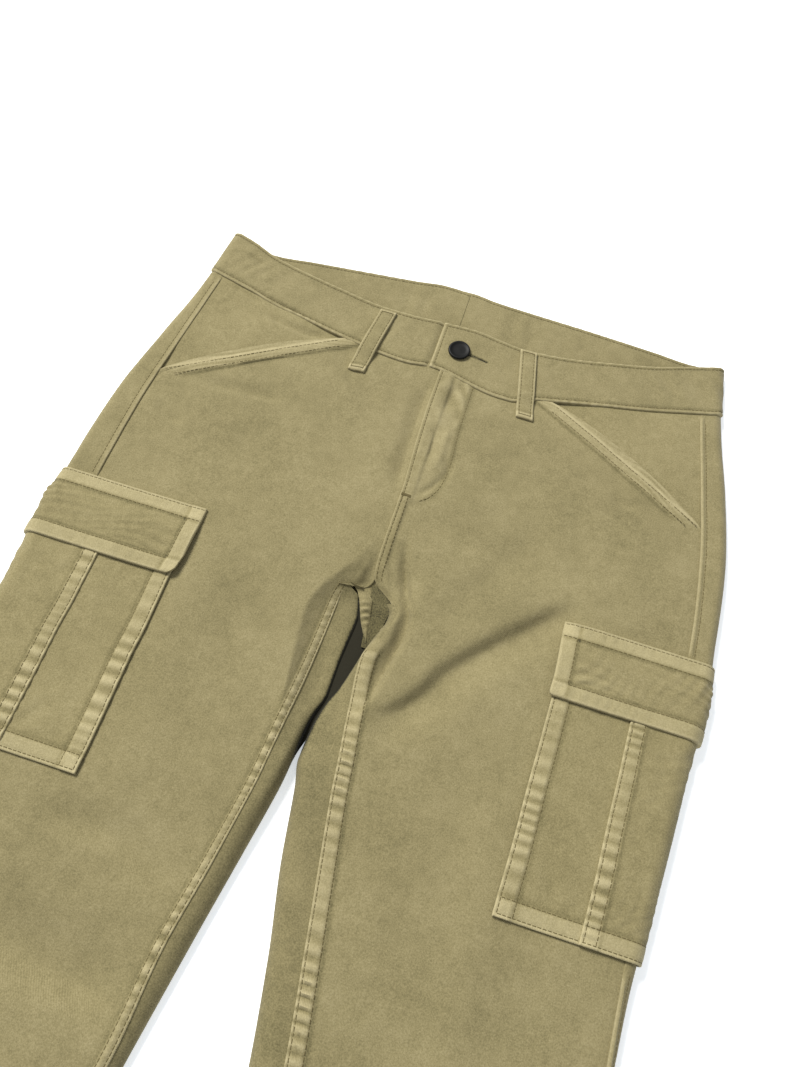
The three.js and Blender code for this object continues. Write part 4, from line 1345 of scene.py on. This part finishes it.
def loop_wear_and_shade(across, share):
    edge = LOOP_HALF - np.abs(across)
    head, foot = share * LOOP_LENGTH, (1 - share) * LOOP_LENGTH
    mark = 0.55 * hill(edge, 0.4, 1.1) + 0.6 * (1 - ease(foot, 4, 5))
    mark = mark + 0.4 * (1 - ease(head, 2, 3.4))
    # Painted shadow line just above the loop's raised foot.
    return mark - 0.3 * hill(foot, 6.2, 1.2)


def loop_face(surface, outward, front):
    return skin(surface, outward, loop_lift(front), 0.002)


def loop_pieces():
    half = np.array([0, 2, 3.6, 4.5, 5.2, 5.8, 6.2, LOOP_HALF])
    across = np.concatenate([-half[:0:-1], half])
    near_head = np.array([0, 0.5, 1.1, 2, 3, 4, 5]) / LOOP_LENGTH
    near_foot = 1 - np.array([5.6, 4.8, 4, 3, 2, 1.1, 0.5, 0]) / LOOP_LENGTH
    u, v = np.meshgrid(across, np.concatenate([near_head, np.linspace(0.1, 0.9, 36), near_foot]))
    for name, *shape in loop_surfaces():
        block = cloth_block(loop_face(*shape), u, v, ply=LOOP_PLY, wear=loop_wear_and_shade)
        wall(f"cloth_{name}", [block], TWILL, name)


# ---- Fly placket and button ----
def placket_piece():
    def surface(x, down):
        left = LEFT.on_top(x, down)
        right = RIGHT.on_top(-x, down)
        return np.where((x > CENTRE)[..., None], left, right)

    def below_fly(x, down):
        return np.full(x.shape, -PLY - 1.0)

    v, u = np.meshgrid(np.linspace(94, 206, 40), np.linspace(-24, 30, 24), indexing="ij")
    block = cloth_block(skin(surface, -1, below_fly), u, v, ply=0.8)
    wall("cloth_fly_placket", [block], TWILL, "fly_placket")


def lathe(name, profile, centre, material, sides=64):
    """Turns a profile of (radius, height) round the upright axis through centre."""
    profile = np.array(profile, float)
    angle = np.linspace(0, 2 * np.pi, sides, endpoint=False)
    radius, height = profile[:, 0][:, None], profile[:, 1][:, None]
    points = np.stack([radius * np.cos(angle), radius * np.sin(angle),
                       np.broadcast_to(height, (len(profile), sides))], -1)
    points = points.reshape(-1, 3) + centre
    index = np.arange(len(profile) * sides).reshape(len(profile), sides)
    after = np.roll(index, -1, axis=1)
    quads = np.stack([index[:-1], after[:-1], after[1:], index[1:]], -1).reshape(-1, 4)
    caps = [index[0][::-1][None, :], index[-1][None, :]]
    return make_mesh(name, points, [quads, *caps], material)


def button_piece():
    x, down, r = BUTTON["x"], BUTTON["down"], BUTTON["radius"]
    level = float(LEFT.top(x, down)) + 1.9
    profile = [
        (1.1, -3.4), (1.1, 0.2), (r - 1.6, 0.3), (r - 0.5, 0.6), (r, 1.2), (r, 1.7), (r - 0.25, 2.2),
        (r - 0.8, 2.5), (r - 1.5, 2.5), (r - 2.1, 2.2), (r - 2.7, 1.95), (r - 4.2, 1.85),
        (1.6, 1.9), (0.05, 1.95),
    ]
    obj = lathe("button_cap", profile, [x, -down, level], BLACK_METAL)
    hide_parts("button")


# ---- Stitches ----
def capsule_template(sides=6):
    """A rounded bar along the first axis, half a unit long each way and one unit round."""
    stations = np.array([-0.5, -0.38, 0.38, 0.5])
    radii = np.array([0.45, 1.0, 1.0, 0.45])
    angle = np.arange(sides) * 2 * np.pi / sides
    points = np.stack([np.broadcast_to(stations[:, None], (4, sides)),
                       radii[:, None] * np.cos(angle), radii[:, None] * np.sin(angle)], -1)
    index = np.arange(4 * sides).reshape(4, sides)
    after = np.roll(index, -1, axis=1)
    quads = np.stack([index[:-1], after[:-1], after[1:], index[1:]], -1).reshape(-1, 4)
    return points.reshape(-1, 3), quads[:, ::-1], [index[0], index[-1][::-1]]


def stitches_along(face, u, v, pitch=PITCH, length=STITCH):
    """Centres, directions and normals of stitches along a line on a face."""
    point, normal = face(np.asarray(u, float), np.asarray(v, float))
    done = np.concatenate([[0], np.cumsum(np.linalg.norm(np.diff(point, axis=0), axis=1))])
    count = max(int(done[-1] / pitch), 1)
    places = (np.arange(count) + 0.5) * done[-1] / count
    at = np.stack([np.interp(places, done, point[:, k]) for k in range(3)], -1)
    ahead = np.stack([np.interp(places + length / 2, done, point[:, k]) for k in range(3)], -1)
    behind = np.stack([np.interp(places - length / 2, done, point[:, k]) for k in range(3)], -1)
    up = np.stack([np.interp(places, done, normal[:, k]) for k in range(3)], -1)
    return at, ahead - behind, up, np.full(count, length)


def stitch_mesh(name, groups, thick=0.27, raise_by=0.1):
    at, along, up, length = [np.concatenate(part) for part in zip(*groups)]
    along = along / np.maximum(np.linalg.norm(along, axis=1, keepdims=True), 1e-9)
    side = np.cross(up, along)
    side /= np.maximum(np.linalg.norm(side, axis=1, keepdims=True), 1e-9)
    up = np.cross(along, side)
    template, quads, caps = capsule_template()
    points = at[:, None] + up[:, None] * raise_by
    points = points + along[:, None] * template[None, :, :1] * length[:, None, None]
    points = points + side[:, None] * template[None, :, 1:2] * thick
    points = points + up[:, None] * template[None, :, 2:] * thick * 0.75
    offset = (np.arange(len(at)) * len(template))[:, None, None]
    faces = [(quads[None] + offset).reshape(-1, 4)]
    faces += [(cap[None, None] + offset).reshape(-1, len(cap)) for cap in caps]
    return make_mesh(name, points.reshape(-1, 3), faces, THREAD, sharp=80)


def bar(face, u, v, steps=10, half=1.6):
    """A bartack: short stitches close together across a line from one end to the other."""
    point, normal = face(np.asarray(u, float), np.asarray(v, float))
    share = np.linspace(0, 1, steps)
    at = np.stack([np.interp(share, [0, 1], point[:, k]) for k in range(3)], -1)
    up = np.repeat(normal[:1], steps, 0)
    return at, np.cross(up, point[1] - point[0]), up, np.full(steps, 2 * half)


def slant_line(side, away):
    """A line along the slant pocket's edge, away inside the front."""
    head, slant = slant_edge(side)
    length = np.hypot(*slant)
    run = slant / length
    along = np.linspace(4, length - 1 - away, 200)

    def at(across, along):
        out = head[0] + run[0] * along - run[1] * across
        down = head[1] + run[1] * along + run[0] * across
        return side.on_top(out, down)

    def high(across, along):
        return LAP - 0.05 + 0.147 * pucker(along, 6.2, 2.0 - side.sign)

    return skin(at, side.sign, high), np.full(len(along), float(away)), along


def front_stitches(side):
    """The inseam, the slant, on the left front the fly, the seat seam, the fly's curved line
    and the bartack at its foot, and the hem."""
    face = front_face(side)

    def line(inset, rows):
        width = front_place(side, np.zeros(np.shape(rows)), rows)[2]
        return stitches_along(face, inset / width, rows)

    inseam = np.arange(312 if side.sign > 0 else 274, 1000, 1.0)
    groups = [line(inset, inseam) for inset in (INSEAM_STITCH, INSEAM_BAND[side.sign])]
    groups += [stitches_along(*slant_line(side, away)) for away in SLANT_STITCHES]
    if side.sign > 0:
        groups.append(line(FLY_STITCH, np.linspace(96, 205, 260)))
        groups += [line(inset, np.linspace(200, 266, 160)) for inset in SEAT_STITCHES]
        curve = np.linspace(96, 200, 200)
        groups.append(line(j_line(curve) - side.inseam(curve), curve))
        foot = np.full(2, BARTACK_DOWN)
        width = front_place(side, np.zeros(2), foot)[2]
        groups.append(bar(face, np.array([1.0, 7.5]) / width, foot, 14, 1.1))
    hem = np.linspace(0.02, 0.97, 200)
    groups.append(stitches_along(face, hem, np.full(200, HEM_STITCH_ROW)))
    return groups


def back_stitches(side):
    """The side seam's line, above the cargo pocket and below it."""
    face = back_face(side)
    lines = (np.arange(58, 252, 1.0), np.arange(446, 1000, 1.0))
    return [stitches_along(face, SIDE_STITCH / side.seam_place(rows), rows) for rows in lines]


def band_stitches(side):
    """Along both edges and down the overlap's end, and along both edges of the inner face that
    shows at the back of the waist."""
    def inner_lift(place, share):
        return band_lift(side)(place, share) - band_inner(side)(place, share)

    inside = skin(band_surface(side), side.sign, inner_lift)

    def flipped(place, share):
        point, normal = inside(place, share)
        return point, -normal

    def edge_lines(face, places, foot_stitch):
        depth = band_depth(side, places)
        return [stitches_along(face, places, BAND_STITCH / depth),
                stitches_along(face, places, 1 - foot_stitch / depth)]

    face = band_face(side)
    _, front, back = band_ends(side)
    start = front - (BAND_END_STITCH if side.sign > 0 else 8)
    groups = edge_lines(face, np.arange(start, 4, -0.8), BAND_STITCH)
    if side.sign > 0:
        share = np.linspace(0.08, 0.92, 60)
        groups.append(stitches_along(face, np.full(60, front - BAND_END_STITCH), share))
    return groups + edge_lines(flipped, np.arange(-6, -back, -0.8), BACK_BAND_FOOT_STITCH)


def pocket_stitches(side):
    """Down the front edges of the inner and centre panels and of the flap, then across the
    pocket's foot and the flap's head and foot."""
    inner = skin(side.ring, side.sign, inner_panel_lift(side))
    centre = skin(side.ring, side.sign, centre_panel_lift(side))
    flap = skin(side.ring, side.sign, flap_lift(side))

    def edge_line(face, front, stitch, rows):
        return stitches_along(face, side.seam_place(rows) + front - stitch, rows)

    def foot_line(face, start, stop, row):
        across = np.arange(start, stop, -0.8)
        return stitches_along(face, across, np.full(len(across), row))

    rows = np.arange(FLAP["foot"] - 4, POCKET["foot"] - 1.5, 0.8)
    groups = [edge_line(inner, POCKET["front"], stitch, rows) for stitch in INNER_STITCHES]
    groups += [edge_line(centre, POCKET["middle"], stitch, rows) for stitch in CENTRE_STITCHES]
    for stitch in FOOT_STITCHES:
        row = POCKET["foot"] - stitch
        front, middle = [float(side.seam_place(row)) + POCKET[edge] for edge in ("front", "middle")]
        groups.append(foot_line(inner, front - 2, middle, row))
        groups.append(foot_line(centre, middle - 1, -4, row))
    head_rows = [FLAP["top"] + stitch for stitch in FLAP_HEAD_STITCHES]
    foot_row = FLAP["foot"] - FLAP_STITCH
    for row, start in ((head_rows[0], 1.0), (head_rows[1], 1.0), (foot_row, FLAP_STITCH)):
        front = float(side.seam_place(row)) + FLAP["front"]
        groups.append(foot_line(flap, front - start, -10, row))
    rows = np.arange(head_rows[1], foot_row, 0.8)
    groups.append(edge_line(flap, FLAP["front"], FLAP_STITCH, rows))
    return groups


def loop_stitches():
    groups = []
    for _, surface, outward, front in loop_surfaces():
        if not front:
            continue
        face = loop_face(surface, outward, front)
        share = np.linspace(0.03, 0.97, 120)
        for across in (-4.4, 4.4):
            groups.append(stitches_along(face, np.full(120, across), share))
        line = np.linspace(-4.6, 4.6, 30)
        for end in (0.045, 0.955):
            groups.append(stitches_along(face, line, np.full(30, end), 1.2, 1.6))
    return groups


# ---- Build ----
for side in SIDES:
    front_piece(side)
    back_piece(side)
    facing_piece(side)
    band_piece(side)
    pocket_pieces(side)
    flap_piece(side)
    for name, stitches in (("front", front_stitches), ("back", back_stitches),
                           ("waistband", band_stitches), ("pocket", pocket_stitches)):
        stitch_mesh(f"stitches_{name}_{side.name}", stitches(side))
loop_pieces()
stitch_mesh("stitches_loops", loop_stitches())
placket_piece()
seat_seam_pieces()
button_piece()

# Width, length and area of each cut, in millimetres and square centimetres, right then left,
# the pieces that lie under it, and its stitching.
CUTS = [
    ("cloth_front", (212, 999, 1550), (224, 1002, 1591), "cloth_back", "stitches_front"),
    ("cloth_back", (296, 977, 2274), (286, 974, 2248), None, "stitches_back"),
    ("cloth_facing", (94, 218, 77), (92, 216, 76), "cloth_back", None),
    ("cloth_waistband", (446, 50, 191), (453, 54, 198), "cloth_back", "stitches_waistband"),
    ("cloth_cargo_inner", (64, 168, 105), (64, 168, 105), "cloth_front", "stitches_pocket"),
    ("cloth_cargo_centre", (76, 169, 121), (67, 169, 103), "cloth_back", None),
    ("cloth_cargo_outer", (47, 166, 77), (47, 166, 77), "cloth_back", None),
    ("cloth_flap", (186, 56, 98), (176, 56, 94), "cloth_cargo_inner", None),
    ("cloth_belt_loop_front", (14.5, 64, 8.7), (14.5, 64, 8.5), "cloth_waistband", None),
    ("cloth_belt_loop_side", (13, 46, 5.7), (13, 52, 6.6), None, None),
]
SINGLE_CUTS = [
    ("cloth_belt_loop_centre_back", (13, 63, 8.0), None, "stitches_loops"),
    ("cloth_fly_placket", (57, 114, 62), "cloth_back_right", None),
    ("cloth_seat_tongue", (22, 51, 5.7), "cloth_back_right", None),
    ("cloth_seat_shade", (20, 44, 5.8), "cloth_back_left", None),
]


def declare_cut(cut):
    width, length, area = cut


for name, right, left, under, stitching in CUTS:
    for side, cut in ((RIGHT, right), (LEFT, left)):
        declare_cut(cut)
for name, cut, under, stitching in SINGLE_CUTS:
    declare_cut(cut)


# ---- Table, light and camera ----
def table_finish(tree, shader):
    plain_finish((0.9, 0.9, 0.9), 0.9, 0.0, 0.0)(tree, shader)
    shader.inputs["Emission Color"].default_value = (0.9, 0.95, 1.0, 1)
    shader.inputs["Emission Strength"].default_value = 0.5


TABLE_HALF = 6.0  # in metres, as are the places below
TABLE_LEVEL = -0.0004
floor_mesh = bpy.data.meshes.new("table")
floor_mesh.from_pydata([(x * TABLE_HALF, y * TABLE_HALF, TABLE_LEVEL)
                        for x, y in ((-1, -1), (1, -1), (1, 1), (-1, 1))], [], [(0, 1, 2, 3)])
floor_mesh.materials.append(material_of("table", table_finish))
floor = bpy.data.objects.new("table", floor_mesh)
bpy.context.scene.collection.objects.link(floor)

world = bpy.data.worlds.new("daylight")
bpy.context.scene.world = world
world.use_nodes = True
sky = world.node_tree.nodes["Background"]
sky.inputs["Color"].default_value = (0.93, 0.96, 1.0, 1)
sky.inputs["Strength"].default_value = 0.47


def area_light(name, place, towards, size, power, colour):
    light = bpy.data.lights.new(name, "AREA")
    light.shape = "DISK"
    light.size = size
    light.energy = power
    light.color = colour
    obj = bpy.data.objects.new(name, light)
    bpy.context.scene.collection.objects.link(obj)
    back = np.array(place, float) - np.array(towards, float)
    back /= np.linalg.norm(back)
    right = np.cross([0, 0, 1], back)
    right /= np.linalg.norm(right)
    up = np.cross(back, right)
    turn = np.eye(4)
    turn[:3, :3] = np.stack([right, up, back], -1)
    turn[:3, 3] = place
    obj.matrix_world = Matrix(turn.tolist())


WARM = (1.0, 0.985, 0.95)
area_light("window", (-3.3, 2.6, 4.6), (0.0, 0.0, 0.0), 2.2, 560, WARM)
area_light("fill", (1.3, -1.6, 1.7), (0.1, -0.4, 0.0), 1.2, 5, WARM)

camera = bpy.data.cameras.new("camera")
camera.sensor_width = 36
camera.sensor_fit = "AUTO"
camera.lens = 29.0
camera.clip_start = 0.01
eye = bpy.data.objects.new("camera", camera)
bpy.context.scene.collection.objects.link(eye)
# The columns are the camera's right, up and back, and where it stands.
eye.matrix_world = Matrix([
    [0.9535, -0.2906, 0.0793, 0.06],
    [0.2962, 0.8568, -0.4220, 0.0245],
    [0.0547, 0.4259, 0.9031, 0.54647],
    [0, 0, 0, 1],
])
bpy.context.scene.camera = eye
bpy.context.scene.view_settings.view_transform = "Standard"

corners = []
for obj in bpy.data.objects:
    if obj.type == "MESH" and not obj.hide_render and obj.name != "table":
        co = np.zeros(len(obj.data.vertices) * 3, np.float32)
        obj.data.vertices.foreach_get("co", co)
        corners += [co.reshape(-1, 3).min(0), co.reshape(-1, 3).max(0)]
